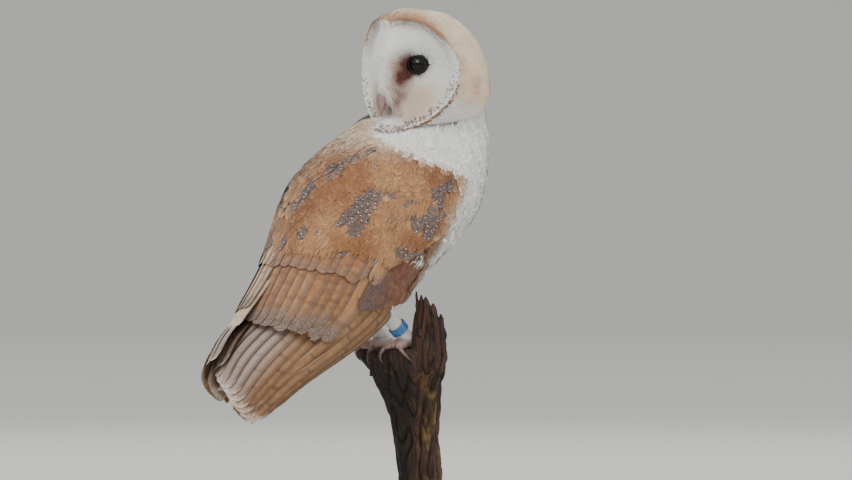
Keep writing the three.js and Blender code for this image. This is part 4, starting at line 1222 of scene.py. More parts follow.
class OWL_OT_wings(Maker):
    """Coverts, secondaries and primaries of both folded wings"""

    bl_idname = "owl.wings"
    bl_label = "Wings"

    def build(self, plumage):
        for side in SIDES:
            self.coverts(side, plumage)
            self.fingers(side)
            self.primaries(side)

    def coverts(self, side, plumage):
        surface = wing_surface(side)
        seed = 50 if side == "right" else 70
        rng = np.random.default_rng(seed)

        def on_wing(t, turn):
            return (turn > inner_edge(t) - 2) & (turn < np.minimum(leading_edge(t), cover_edge(t) + 3))

        batches, down = [], []
        for low, high, size, width, spacing, rise in (
            (0.135, 0.3, 10.5, 3.1, 3.4, 0.0), (0.3, 0.4, 13.0, 3.9, 4.0, -0.1), (0.4, 0.485, 15.0, 4.3, 4.4, -0.25),
        ):
            roots = surface.sow((low, 0), (high, 124), spacing, seed, on_wing)
            seed += 1
            here = surface.frame(roots)[0]
            n = len(roots)
            grey = pepper(roots[:, 0] + 0.025, roots[:, 1], WING_PEPPER, here, 4 if side == "right" else 9)
            spot = (rng.random(n) < plumage.spots) * smooth(grey + 0.25 * rng.random(n), 0.3, 0.5) + (rng.random(n) < 0.06)
            lifted = 0.3 * bump(roots[:, 1], leading_edge(roots[:, 0]), 6)
            toward = np.stack([np.full(n, 0.003), -0.15 * lifted], -1)
            batches.append(coat(surface, roots, toward, gold_tint(here, roots[:, 0], roots[:, 1], seed), size, width,
                                -2.6, rise + 0.1, seed, rows=5, columns=6, stray=0.06, twist=0.05, wave=0.9,
                                uneven=0.03, fray=0.025, cup=0.03, pepper=grey, spot=spot))
        roots = surface.sow((0.13, 0), (0.535, 124), 1.25, seed + 5, on_wing)
        here = surface.frame(roots)[0]
        grey = pepper(roots[:, 0], roots[:, 1], WING_PEPPER, here, 4 if side == "right" else 9)
        roots, here = roots[grey < 0.2], here[grey < 0.2]
        toward = np.stack([np.full(len(roots), 0.003), np.zeros(len(roots))], -1)
        down.append(coat(surface, roots, toward, gold_tint(here, roots[:, 0], roots[:, 1], seed + 6), 7.0, 0.42,
                         -1.1, 0.45, seed + 7, wave=0.9))
        join_vanes(f"coat_wing_{side}", batches, material("covert"))
        join_vanes(f"coat_wing_{side}_down", down, material("plume"))

    def fingers(self, side):
        surface = wing_surface(side)
        rng = np.random.default_rng(90)
        batches = []
        first = 0
        # how many, turns from and to, root t, tip t at the back and at the front, half width, height
        for count, turn0, turn1, root, tip0, tip1, wide, low, high in (
            (11, -2, 88, 0.5, 0.766, 0.798, 7.2, -3.4, -0.9),
            (12, 0, 92, 0.455, 0.59, 0.605, 6.2, -2.6, -0.2),
        ):
            k = np.arange(count)
            share = k / (count - 1)
            turn = lerp(turn0, turn1, share)
            turn = turn + 1.2 * rng.normal(0, 1, count)
            wide = wide * jitter(count, 0.08, count)
            roots = np.stack([np.full(count, root), turn], -1)
            tips = np.stack([lerp(tip0, tip1, share**0.6) + 0.004 * rng.normal(0, 1, count), turn * 1.01 + 0.5], -1)
            track = roots[:, None] + (tips - roots)[:, None] * np.linspace(0, 1, 11)[None, :, None]
            here = surface.frame(roots)[0]
            tint = lerp(gold_tint(here, roots[:, 0] + 0.1, turn, 91), tone("gold"), 0.4)
            if side == "left":
                tint = lerp(tint, tone("cream"), (0.7 * (1 - smooth(turn, 8, 30)))[:, None])
            step = -0.2 * share
            batch = Vanes(surface, track, wide, low + step, high + step, outline=quill, columns=8, rounding=0.8,
                          cup=0.05, power=0.5, roll=0.05, fray=0.006, tint=tint, seed=92,
                          phase=rng.random(count), tipped=0.85 if root > 0.48 else 0.4)
            batches.append(batch.own_patches(first, 5))
            first += count
        join_vanes(f"secondaries_{side}", batches, material("finger"))

    def primaries(self, side):
        def inset(t, turn):
            v = np.clip((turn - lerp(inner_edge(t), 32, smooth(t, 0.66, 0.86))) / 90, 0, 1)
            inner = lerp(11.0, 2.2, smooth(t, 0.75, 0.9))
            return lerp(inner, lerp(5.4, 1.2, smooth(t, 0.68, 0.8)), smooth(v, 0.6, 0.95))

        surface = wing_surface(side, inset)
        count, pitch = (11, 14.3) if side == "right" else (10, 14.6)
        k = np.arange(count)
        tip_t = np.array([0.955, 0.985, 0.997, 0.995, 0.99, 0.985, 0.975, 0.965, 0.955, 0.945, 0.93])[:count]
        middle = np.stack([np.full(count, 0.76), 133 - pitch * k], -1)
        roots = np.stack([np.full(count, 0.56), 133 - 7.5 * k], -1)
        tips = np.stack([tip_t, 126 - (pitch - 1) * k], -1)
        s = np.linspace(0, 1, 19)[None, :, None]
        bend = middle - (roots + tips) / 2
        track = roots[:, None] + (tips - roots)[:, None] * s + 2 * bend[:, None] * s * (1 - s)
        # painted light: the left wing's primaries are coloured 1.35 times lighter than the right's, against the shade
        # they lie in
        tint = lerp(tone("quill"), tone("gold"), 0.03 * k[:, None]) * (1 if side == "right" else 1.35)
        batch = Vanes(surface, track, 7.6 + 0.2 * k, -0.6 + 0.28 * k, 0.1 + 0.28 * k, outline=quill, columns=10,
                      rounding=0.9, cup=0.04, roll=0.04, tint=tint, phase=0.37 * k, web=smooth(k, 4.2, 7.5))
        edging = self.edging(side)
        under = wing_surface(side, lambda t, u: inset(t, u) + 4.6)
        # painted shade: the lining under the primaries is a copy of their colour made 0.8 times darker
        lining = Vanes(under, track[2:], 7.6 + 0.2 * k[2:], -0.2, -0.2 - 0.12 * k[2:], outline=quill, columns=6,
                       rounding=0.9, cup=-0.04, tint=0.8 * tint[2:], phase=0.37 * k[2:], web=0.6)
        cover_surface = wing_surface(side)
        n = 9
        share = np.arange(n) / (n - 1)
        turn = lerp(136, 96, share)
        roots = np.stack([np.full(n, 0.5), turn], -1)
        tips = np.stack([lerp(0.655, 0.705, share), turn - 1], -1)
        track = roots[:, None] + (tips - roots)[:, None] * np.linspace(0, 1, 9)[None, :, None]
        rufous = np.broadcast_to(tone("rufous"), (n, 3)) * jitter(n, 0.08, 3)[:, None]
        plates = Vanes(cover_surface, track, 6.4, -2.4, -0.3 + 0.1 * np.arange(n), outline=quill, columns=8,
                       rounding=0.9, cup=0.06, power=0.6, fray=0.01, tint=rufous, pepper=0.75 * smooth(share, 0.45, 0.9))
        feathers, first = [batch, lining, edging], 0
        for feather in feathers:
            feather.own_patches(first, 5)
            first += feather.count
        join_vanes(f"primaries_{side}", feathers, material("quill"))
        join_vanes(f"primary_coverts_{side}", [plates.own_patches(0, 3)], material("covert"))


    @staticmethod
    def edging(side):
        """Long pale feathers that close the wing along the back line."""
        n = 4
        turn = lerp(-5.0 if side == "left" else 0.0, 16.0, np.arange(n) / (n - 1))
        roots = np.stack([np.full(n, 0.62), turn], -1)
        tips = np.stack([(0.835 if side == "left" else 0.735) + 0.012 * np.arange(n), turn + 3], -1)
        track = roots[:, None] + (tips - roots)[:, None] * np.linspace(0, 1, 13)[None, :, None]
        tint = np.broadcast_to(lerp(tone("cream"), tone("pale_gold"), 0.3), (n, 3))
        low = -3.2 if side == "left" else -5.0
        return Vanes(wing_surface(side), track, 6.0, low, low + 1.6 - 0.2 * np.arange(n), outline=quill, columns=8,
                     rounding=0.9, cup=0.05, tint=tint, phase=0.21 * np.arange(n), web=0.15)


TAIL_BASE, TAIL_TIP = np.array([-108.0, 0, 212]), np.array([-168.0, 0, 131])


def tail_point(s, a):
    down = (TAIL_TIP - TAIL_BASE) / np.linalg.norm(TAIL_TIP - TAIL_BASE)
    back = np.array([down[2], 0, -down[0]])
    size = np.linalg.norm(TAIL_TIP - TAIL_BASE)
    half = lerp(15.0, 24.0, np.clip(s, 0, 1) ** 0.7)
    line = TAIL_BASE + down * (s * size)[..., None] + back * (5 * (1 - a * a))[..., None]
    return line + np.array([0, 1.0, 0]) * (half * a)[..., None]


TAIL = Surface(tail_point, lambda s, a: TAIL_BASE + np.array([40.0, 0, -60]), lambda s, a: np.stack([s, a / 2 + 0.5], -1),
               (0.01, 0.02))
VENT_X = (Stations(-126, -128, -124, -114, -106), Stations(14, -16, -44, -68, -84))
VENT_Z = (Stations(256, 232, 214, 203, 198), Stations(236, 214, 200, 191, 188))
VENT_WIDTH = Stations(60, 51, 41, 29, 15)


def vent_point(s, turn):
    c, k = np.cos(np.radians(turn)), np.sin(np.radians(turn))
    along, across = np.sign(c) * np.abs(c) ** SQUARED, np.sign(k) * np.abs(k) ** SQUARED
    back, belly = (np.stack([x(s), 0 * s, z(s)], -1) for x, z in zip(VENT_X, VENT_Z))
    return (back + belly) / 2 + (back - belly) / 2 * along[..., None] - np.array([0, 1.0, 0]) * (VENT_WIDTH(s) * across)[..., None]


VENT = Surface(vent_point, lambda s, a: np.stack([(VENT_X[0](s) + VENT_X[1](s)) / 2, 0 * s, (VENT_Z[0](s) + VENT_Z[1](s)) / 2], -1),
               lambda s, a: np.stack([0.02 + 0.96 * s, 0.02 + 0.96 * np.mod(a / 360, 1)], -1), (0.01, 1.5))


class OWL_OT_tail(Maker):
    """Tail feathers between the wings, and the down under them"""

    bl_idname = "owl.tail"
    bl_label = "Tail and vent"

    def build(self, plumage):
        n = 12
        across = np.linspace(-0.88, 0.88, n)
        order = 1 - np.abs(across)
        roots = np.stack([np.full(n, 0.02), across * 0.8], -1)
        tips = np.stack([0.99 - 0.05 * across**2, across], -1)
        track = roots[:, None] + (tips - roots)[:, None] * np.linspace(0, 1, 11)[None, :, None]
        tint = np.broadcast_to(tone("quill"), (n, 3))
        tail = Vanes(TAIL, track, 5.0, 0.1 + 0.9 * order, 0.1 + 0.9 * order, outline=quill, columns=6, cup=0.05,
                     tint=tint, phase=0.1 * np.arange(n) % 1, web=np.full(n, 0.25))
        join_vanes("tail_feathers", [tail.own_patches(0, 4)], material("quill"))
        roots = VENT.sow((0, 60), (0.98, 300), 1.5 / math.sqrt(plumage.density), 61)
        here = VENT.frame(roots)[0]
        tint = np.broadcast_to(tone("white"), (len(roots), 3)) * jitter(len(roots), 0.05, 62)[:, None]
        toward = np.stack([np.ones(len(roots)), np.zeros(len(roots))], -1)
        join_vanes("coat_vent", [coat(VENT, roots, toward, tint, 11.0, 0.8, -2.0, 0.8, 63)], material("plume"))


class OWL_OT_legs(Maker):
    """Down of the thighs and short feathers of the shanks"""

    bl_idname = "owl.legs"
    bl_label = "Legs"

    def build(self, plumage):
        batches = []
        for side, word in ((-1, "right"), (1, "left")):
            hip, knee, heel, ankle = (
                np.array([x, side * y, z]) for x, y, z in ((-48, 25, 226), (-41, 23, 210), (-36, 20, 197), (-15, 18.5, 175))
            )
            thigh = tube_surface([hip, knee, np.array([-33, side * 20.5, 194.5])], (24, 19, 15.5, 8.6), 0.02)
            top = heel + 0.2 * (heel - ankle)
            shank = tube_surface([top, (top + ankle) / 2, ankle], (6, 5.8, 5.7, 5.7, 6.2), 0.25)
            for surface, low, size, width, spacing, depth, rise, seed in (
                (thigh, 0.0, 9.0, 0.7, 1.25, -2.5, 0.6, 81), (shank, 0.0, 4.4, 0.5, 0.62, -0.5, 0.35, 83),
            ):
                roots = surface.sow((low, 0), (0.97, 360), spacing, seed + (side > 0))
                tint = np.broadcast_to(tone("white"), (len(roots), 3)) * jitter(len(roots), 0.05, seed)[:, None]
                toward = np.stack([np.ones(len(roots)), np.zeros(len(roots))], -1)
                batches.append(coat(surface, roots, toward, tint, size, width, depth, rise, seed + 2))
        join_vanes("coat_legs", batches, material("plume"))


# ------------------------------------------------------------------ skin, horn and eyes
COAT_DEPTH = {"facial_disc": 1.3, "head": 2.8, "neck": 4.5, "mantle": 4.2, "breast": 4.5, "tail": 1.4, "thigh": 2.6,
              "tarsus": 0.7, "toe": -0.8, "coverts": 2.6, "secondaries": 1.6, "primary_coverts": 1.4, "primaries": 1.1}


def depth_of(node):
    words = node.split("_", 2)
    return COAT_DEPTH.get(node, COAT_DEPTH.get(words[0], COAT_DEPTH.get(words[-1], 1.0)))


def skin_material():
    """Bare skin, with small scales on the toes and the coat's own colours elsewhere."""
    g = Graph("Skin", 0.72)
    bare = g.mark("bare")
    pores = g.noise(1.2, 3.0)
    scales = g.cells(0.8, feature="DISTANCE_TO_EDGE")
    toe = g.mix(scales.step(0.02, 0.16), tuple(0.75 * tone("toe")), tuple(1.05 * tone("toe")))
    toe = g.mix(pores.step(0.35, 0.75) * 0.4, toe, tuple(tone("white")))
    g.bump(scales.step(0.0, 0.2) * bare + pores * 0.3, 0.5, 0.7)
    feathered = g.mix(pores.step(0.3, 0.8) * 0.25, g.mark("Tint", "Color"), (0.5, 0.44, 0.4), "MULTIPLY")
    return g.paint(g.mix(bare, feathered, toe), 0.78 - bare * 0.28)


class OWL_OT_skin(Maker):
    """One skin over all the flesh, inside the solids by the depth of the coat"""

    bl_idname = "owl.skin"
    bl_label = "Skin"

    def build(self, plumage):
        source = merged_copy(FLESH)
        owners, corners, faces = [], [], []
        for node in FLESH:
            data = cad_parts[node].data
            faces += [[len(corners) + i for i in p.vertices] for p in data.polygons]
            corners += [v.co[:] for v in data.vertices]
            owners += [node] * len(data.polygons)
        tree = BVHTree.FromPolygons(corners, faces)
        mesh = baked_modifiers(
            "skin", source, ("REMESH", {"mode": "VOXEL", "voxel_size": plumage.voxel}),
            ("SMOOTH", {"factor": 0.6, "iterations": 5}),
        )
        bm = bmesh.new()
        bm.from_mesh(mesh)
        islands = self.islands(bm)
        largest = max(islands, key=len)
        bmesh.ops.delete(bm, geom=[v for part in islands if part is not largest for v in part], context="VERTS")
        bm.normal_update()
        hull = BVHTree.FromBMesh(bm)
        normals = np.array([v.normal[:] for v in bm.verts])
        co = np.array([v.co[:] for v in bm.verts])
        depth, bare = np.zeros(len(co)), np.zeros(len(co))
        for i, v in enumerate(bm.verts):
            face = tree.find_nearest(v.co)[2]
            node = owners[face]
            wanted = depth_of(node) * MM
            hit = hull.ray_cast(v.co - v.normal * 1e-4, -v.normal)[3]
            depth[i] = min(wanted, 0.3 * hit) if hit and wanted > 0 else wanted
            bare[i] = node.startswith("toe")
        edges = np.array([[v.index for v in e.verts] for e in bm.edges])
        bm.to_mesh(mesh)
        bm.free()
        depth, bare = self.spread(depth, edges, 6), self.spread(bare, edges, 3)
        co = co - normals * depth[:, None]
        mesh.vertices.foreach_set("co", co.ravel())
        smooth_faces(mesh)
        roots = np.concatenate([r for r, _ in PAINTED])
        tints = np.concatenate([t for _, t in PAINTED])
        pick = np.random.default_rng(2).permutation(len(roots))[:90000]
        near = KDTree(len(pick))
        for i, k in enumerate(pick):
            near.insert(roots[k] * MM, i)
        near.balance()
        tint = np.array([tints[pick[near.find(p)[1]]] for p in co])
        for _ in range(2):
            tint = np.stack([self.spread(tint[:, c], edges, 1) for c in range(3)], -1)
        layer = mesh.attributes.new("Tint", "FLOAT_COLOR", "POINT")
        layer.data.foreach_set("color", np.concatenate([tint * 0.9, np.ones((len(tint), 1))], 1).ravel())
        mesh.attributes.new("bare", "FLOAT", "POINT").data.foreach_set("value", bare)
        add_piece("skin", mesh, FLESH, skin_material())

    @staticmethod
    def islands(bm):
        seen, parts = set(), []
        for start in bm.verts:
            if start in seen:
                continue
            stack, part = [start], []
            seen.add(start)
            while stack:
                v = stack.pop()
                part.append(v)
                for e in v.link_edges:
                    other = e.other_vert(v)
                    if other not in seen:
                        seen.add(other)
                        stack.append(other)
            parts.append(part)
        return parts

    @staticmethod
    def spread(values, edges, passes):
        """Evens values out along the edges of the mesh."""
        for _ in range(passes):
            total, count = values.copy(), np.ones(len(values))
            np.add.at(total, edges[:, 0], values[edges[:, 1]])
            np.add.at(total, edges[:, 1], values[edges[:, 0]])
            np.add.at(count, edges.ravel(), 1)
            values = total / count
        return values


def eye_material():
    g = Graph("Eye", 0.12, Coat_Weight=0.25, Coat_Roughness=0.05, Specular_IOR_Level=0.2)
    return g.paint(g.mix(g.noise(3.0).step(0.3, 0.8), (0.002, 0.0015, 0.0015), (0.006, 0.003, 0.002)))


def lid_material():
    g = Graph("Eyelid", 0.6, Specular_IOR_Level=0.25)
    grain = g.noise(0.5, 2.0)
    g.bump(grain, 0.15, 0.6)
    return g.paint(g.mix(grain.step(0.35, 0.7), tuple(0.2 * tone("ink")), tuple(0.8 * tone("ink"))))


class OWL_OT_eyes(Maker):
    """Dark glossy eyes with a clear bulge, and the bare rims of their lids"""

    bl_idname = "owl.eyes"
    bl_label = "Eyes and lids"

    def build(self, plumage):
        dark, lid = eye_material(), lid_material()
        for side, sign in (("right", -1), ("left", 1)):
            low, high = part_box(f"eye_{side}")
            centre, radius = (low + high) / 2, (high - low).x / 2 * 1.02
            gaze = Vector((math.cos(YAW + sign * math.radians(26)), math.sin(YAW + sign * math.radians(26)), 0.06)).normalized()
            turn = gaze.to_track_quat("Z", "Y").to_matrix()
            bm = bmesh.new()
            bmesh.ops.create_uvsphere(bm, u_segments=40, v_segments=28, radius=radius)
            for v in bm.verts:
                dome = max(0.0, v.co.z / radius - 0.55) / 0.45
                v.co.z += 0.0007 * dome * dome * (3 - 2 * dome)
            bmesh.ops.rotate(bm, verts=bm.verts, cent=(0, 0, 0), matrix=turn)
            bmesh.ops.translate(bm, verts=bm.verts, vec=centre)
            mesh = bpy.data.meshes.new(f"eyeball_{side}")
            bm.to_mesh(mesh)
            bm.free()
            smooth_faces(mesh)
            add_piece(f"eyeball_{side}", mesh, [f"eye_{side}"], dark)
            bm = bmesh.new()
            reach, thick = math.radians(49), 0.0009
            start = Vector((math.sin(reach) * (radius + 0.0002), 0, math.cos(reach) * (radius + 0.0002)))
            bmesh.ops.create_circle(bm, segments=12, radius=thick)
            bmesh.ops.rotate(bm, verts=bm.verts, cent=(0, 0, 0), matrix=Vector((0, 1, 0)).to_track_quat("Z", "X").to_matrix())
            bmesh.ops.translate(bm, verts=bm.verts, vec=start)
            bmesh.ops.spin(bm, geom=bm.edges[:], cent=(0, 0, 0), axis=(0, 0, 1), angle=2 * math.pi, steps=48, use_merge=True)
            bmesh.ops.recalc_face_normals(bm, faces=bm.faces)
            bmesh.ops.rotate(bm, verts=bm.verts, cent=(0, 0, 0), matrix=turn)
            for v in bm.verts:  # almond: the upper and lower parts of the ring lie closer together
                reach_here = v.co.length
                v.co.z *= 0.88
                v.co = v.co.normalized() * reach_here
            bmesh.ops.translate(bm, verts=bm.verts, vec=centre)
            mesh = bpy.data.meshes.new(f"eyelid_{side}")
            bm.to_mesh(mesh)
            bm.free()
            smooth_faces(mesh)
            add_piece(f"eyelid_{side}", mesh, (), lid)


def horn_material():
    g = Graph("Bill", 0.38, Subsurface_Weight=0.08, Coat_Weight=0.15)
    along = g.noise(2.2, 2.0, g.place((1, 1, 0.35)))
    base = g.mix(along.step(0.35, 0.7) * 0.5, tuple(tone("horn")), tuple(lerp(tone("horn"), tone("grey"), 0.7)))
    base = g.mix((1 - g.mark("side")) * 0.45, base, tuple(lerp(tone("grey"), tone("ring"), 0.12)))
    base = g.mix(g.mark("side") * along.step(0.3, 0.6) * 0.5, base, tuple(lerp(tone("horn"), tone("tear"), 0.4)))
    fine = g.noise(0.4, 2.0, g.place((1, 1, 0.3)))
    g.bump(fine, 0.12, 0.5)
    return g.paint(base, 0.3 + along * 0.2)


def claw_material():
    g = Graph("Claw", 0.32, Coat_Weight=0.2)
    fine = g.noise(0.5, 2.0)
    base = g.mix(g.mark("tip"), tuple(lerp(tone("claw"), tone("toe"), 0.45)), tuple(0.35 * tone("claw")))
    g.bump(fine, 0.1, 0.4)
    return g.paint(g.mix(fine.step(0.4, 0.7) * 0.3, base, tuple(tone("claw"))), 0.28 + fine * 0.15)


class OWL_OT_horn(Maker):
    """Bill and the claws"""

    bl_idname = "owl.horn"
    bl_label = "Bill and claws"

    def build(self, plumage):
        horn = horn_material()
        for name in ("bill_upper", "bill_lower"):
            mesh = baked_modifiers(f"{name}_sheath", merged_copy([name]), ("SUBSURF", {"levels": 3, "render_levels": 3}))
            co = (coordinates(mesh) / MM - HEAD_AT) @ HEAD_AXES.T
            co[:, 1] *= 1.3
            if name == "bill_lower":
                co += np.array([1.6, 0, 1.8])
            side = smooth(np.abs(co[:, 1]), 1.0, 4.2)
            mesh.vertices.foreach_set("co", ((co @ HEAD_AXES + HEAD_AT) * MM).ravel())
            mesh.attributes.new("side", "FLOAT", "POINT").data.foreach_set("value", side)
            smooth_faces(mesh)
            add_piece(f"{name}_sheath", mesh, [name], horn)
        claw = claw_material()
        for name in CLAWS:
            side = name.split("_")[1]
            toe_low, toe_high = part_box(name.replace("claw", "toe"))
            mesh = baked_modifiers(f"{name}_horn", merged_copy([name]), ("SUBSURF", {"levels": 2, "render_levels": 2}))
            smooth_faces(mesh)
            co = coordinates(mesh)
            away = np.linalg.norm(co - np.array((toe_low + toe_high) / 2), axis=1)
            tip = smooth(away, np.percentile(away, 20), away.max())
            mesh.attributes.new("tip", "FLOAT", "POINT").data.foreach_set("value", tip)
            add_piece(f"{name}_horn", mesh, [name], claw)


class OWL_OT_ring(Maker):
    """Plain band on the right leg"""

    bl_idname = "owl.ring"
    bl_label = "Leg ring"

    def build(self, plumage):
        heel, ankle = Vector((-36, -20, 197)) * MM, Vector((-15, -18.5, 175)) * MM
        low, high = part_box("leg_ring")
        axis = (heel - ankle).normalized()
        deep = Vector((0.5, 0.866, 0))
        bm = bmesh.new()
        outline = [bm.verts.new((r * MM, 0, h * MM)) for r, h in ((6.6, -3.2), (7.5, -3.2), (7.5, 3.2), (6.6, 3.2))]
        face = bm.faces.new(outline)
        bmesh.ops.spin(bm, geom=face.edges[:], cent=(0, 0, 0), axis=(0, 0, 1), angle=2 * math.pi, steps=64, use_merge=True)
        bmesh.ops.delete(bm, geom=[face], context="FACES_ONLY")
        bmesh.ops.remove_doubles(bm, verts=bm.verts, dist=1e-7)
        bmesh.ops.recalc_face_normals(bm, faces=bm.faces)
        sharp = [e for e in bm.edges if len(e.link_faces) == 2 and e.calc_face_angle(0) > 1]
        bmesh.ops.bevel(bm, geom=sharp, offset=0.00025, segments=3, profile=0.5, affect="EDGES", material=-1)
        bmesh.ops.rotate(bm, verts=bm.verts, cent=(0, 0, 0), matrix=axis.to_track_quat("Z", "Y").to_matrix())
        from_tilt = Vector(deep)
        bmesh.ops.rotate(bm, verts=bm.verts, cent=(0, 0, 0), matrix=self.turn(from_tilt, -4))
        bmesh.ops.translate(bm, verts=bm.verts, vec=(low + high) / 2)
        mesh = bpy.data.meshes.new("ring_band")
        bm.to_mesh(mesh)
        bm.free()
        smooth_faces(mesh)
        g = Graph("Ring", 0.34, Coat_Weight=0.1)
        wear = g.noise(1.3, 4.0)
        g.bump(g.noise(0.4, 2.0), 0.05, 0.3)
        base = g.mix(wear.step(0.45, 0.75) * 0.45, tuple(tone("ring")), tuple(lerp(tone("ring"), tone("white"), 0.4)))
        add_piece("ring_band", mesh, ["leg_ring"], g.paint(base, 0.3 + wear * 0.25))

    @staticmethod
    def turn(axis, degrees):
        return Matrix.Rotation(math.radians(degrees), 3, axis)


def wood_material():
    g = Graph("Dead wood", 0.88)
    fibre = g.noise(1.3, 4.0, g.place((1, 1, 0.07)), 0.6)
    broad = g.noise(9.0, 3.0, g.place((1, 1, 0.3)))
    fine = g.noise(0.7, 3.0, g.place((1, 1, 0.12)))
    base = g.ramp(fibre, (0.3, tuple(0.12 * tone("wood"))), (0.47, tuple(0.6 * tone("wood"))),
                  (0.6, tuple(1.25 * tone("wood"))), (0.75, tuple(2.3 * tone("wood"))))
    base = g.mix(broad.step(0.5, 0.72) * 0.5, base, (0.018, 0.012, 0.01))
    # painted shade: the left side of the branch below its top is darkened nearly to black
    base = g.mix(g.mark("left_side_shade") * 0.75, base, (0.008, 0.006, 0.005))
    growth = g.noise(6.0, 4.0, g.place((1, 1, 0.5)))
    side = g.mark("lichen")
    base = g.mix(growth.step(0.44, 0.62) * side * 0.85, base, tuple(tone("lichen")))
    # painted shade: the grooves between the fibres are darkened nearly to black
    deep = g.mark("hollow")
    base = g.mix(deep * 0.8, base, (0.006, 0.004, 0.003))
    g.bump(fibre * 0.8 + fine * 0.5, 1.6, 0.9)
    return g.paint(base, 0.92 - fine * 0.2)


class OWL_OT_perch(Maker):
    """Broken dead branch, split along its fibres"""

    bl_idname = "owl.perch"
    bl_label = "Perch"

    def build(self, plumage):
        mesh = baked_modifiers(
            "branch", merged_copy(["perch"]), ("REMESH", {"mode": "VOXEL", "voxel_size": 0.0009}),
            ("SMOOTH", {"factor": 0.6, "iterations": 6}),
        )
        mesh.update()
        co = coordinates(mesh)
        normals = np.empty(len(co) * 3, np.float32)
        mesh.vertices.foreach_get("normal", normals)
        normals = normals.reshape(-1, 3)
        p = co / MM
        wander = np.stack([blotch(p, 22, 1), blotch(p, 22, 2)], -1)[:, :] * 9
        flat = np.stack([p[:, 0] + wander[:, 0], p[:, 1] + wander[:, 1], p[:, 2] * 0.09], -1)
        ridge = np.abs(blotch(flat, 5.0, 3) - 0.5) * 2
        fine = np.abs(blotch(flat * np.array([1, 1, 1.6]), 2.1, 4) - 0.5) * 2
        broad = blotch(p * np.array([1, 1, 0.5]), 17, 5)
        upright = 1 - np.abs(normals[:, 2]) ** 2
        hollow = smooth(0.32 - ridge, 0, 0.32)
        move = (-2.2 * hollow + 0.9 * (fine - 0.5) + 2.2 * (broad - 0.5)) * (0.35 + 0.65 * upright)
        clear = np.ones(len(p))
        for foot in ((-15, -18.5), (-15, 18.5)):
            clear = np.minimum(clear, smooth(np.hypot(p[:, 0] - foot[0] - 4, p[:, 1] - foot[1]) + 0.6 * np.abs(p[:, 2] - 168), 22, 34))
        move = move * np.where(p[:, 2] > 150, clear, 1) * smooth(p[:, 2], 50, 54)
        moved = co + normals * (move * MM)[:, None]
        columns = np.stack([p[:, 0], p[:, 1], 0 * p[:, 2]], -1)
        broken = 0.65 * smooth(blotch(columns, 5, 6), 0.4, 0.62) + 0.35 * smooth(blotch(columns, 2.4, 7), 0.35, 0.65)
        moved[:, 2] -= 11 * MM * broken * smooth(p[:, 2], 168, 198)
        mesh.vertices.foreach_set("co", moved.ravel())
        smooth_faces(mesh)
        right = 0.866 * p[:, 0] - 0.5 * p[:, 1]
        growth = smooth(right, 0, 16) * (1 - smooth(p[:, 2], 120, 165)) * smooth(blotch(p, 16, 9), 0.15, 0.55)
        mesh.attributes.new("lichen", "FLOAT", "POINT").data.foreach_set("value", growth)
        # painted shade in the grooves, stronger on upright faces
        mesh.attributes.new("hollow", "FLOAT", "POINT").data.foreach_set("value", hollow * (0.4 + 0.6 * upright))
        # painted shade: darker on the left side of the branch and below its top
        left_side_shade = (1 - smooth(right, -6, 7)) * smooth(170 - p[:, 2], 0, 22)
        mesh.attributes.new("left_side_shade", "FLOAT", "POINT").data.foreach_set("value", left_side_shade)
        wood = wood_material()
        add_piece("branch", mesh, ["perch"], wood)
        self.splinters(wood)

    def splinters(self, wood):
        """Torn fibres along the broken edges."""
        rng = np.random.default_rng(12)
        bm = bmesh.new()
        right, deep = Vector((0.866, -0.5, 0)), Vector((0.5, 0.866, 0))
        low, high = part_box("perch")
        for i in range(70):
            top = i < 40
            if top:
                r, z = rng.uniform(2, 24), rng.uniform(184, 200)
                z = z - max(0.0, (r - 10)) * 0.9
                at = right * r + deep * rng.uniform(-38, -27) + Vector((0, 0, z))
                tall = rng.uniform(6, 15)
            else:
                a = rng.uniform(0, 2 * math.pi)
                at = right * (-6 + 27 * math.cos(a)) + deep * (-6 + 34 * math.sin(a)) + Vector((0, 0, rng.uniform(148, 160)))
                tall = rng.uniform(5, 9)
            made = bmesh.ops.create_cone(bm, cap_ends=True, segments=5, radius1=rng.uniform(0.7, 1.5) * MM, radius2=0.0001, depth=tall * MM)
            lean = Vector((rng.normal(0, 0.14), rng.normal(0, 0.14), 1)).normalized()
            bmesh.ops.rotate(bm, verts=made["verts"], cent=(0, 0, 0), matrix=lean.to_track_quat("Z", "X").to_matrix())
            where = at * MM
            where.z = min(where.z, high.z - tall * MM * 0.55)
            bmesh.ops.translate(bm, verts=made["verts"], vec=where)
        mesh = bpy.data.meshes.new("splinters")
        bm.to_mesh(mesh)
        bm.free()
        for name in ("lichen", "hollow", "left_side_shade"):
            mesh.attributes.new(name, "FLOAT", "POINT")
        add_piece("splinters", mesh, (), wood)


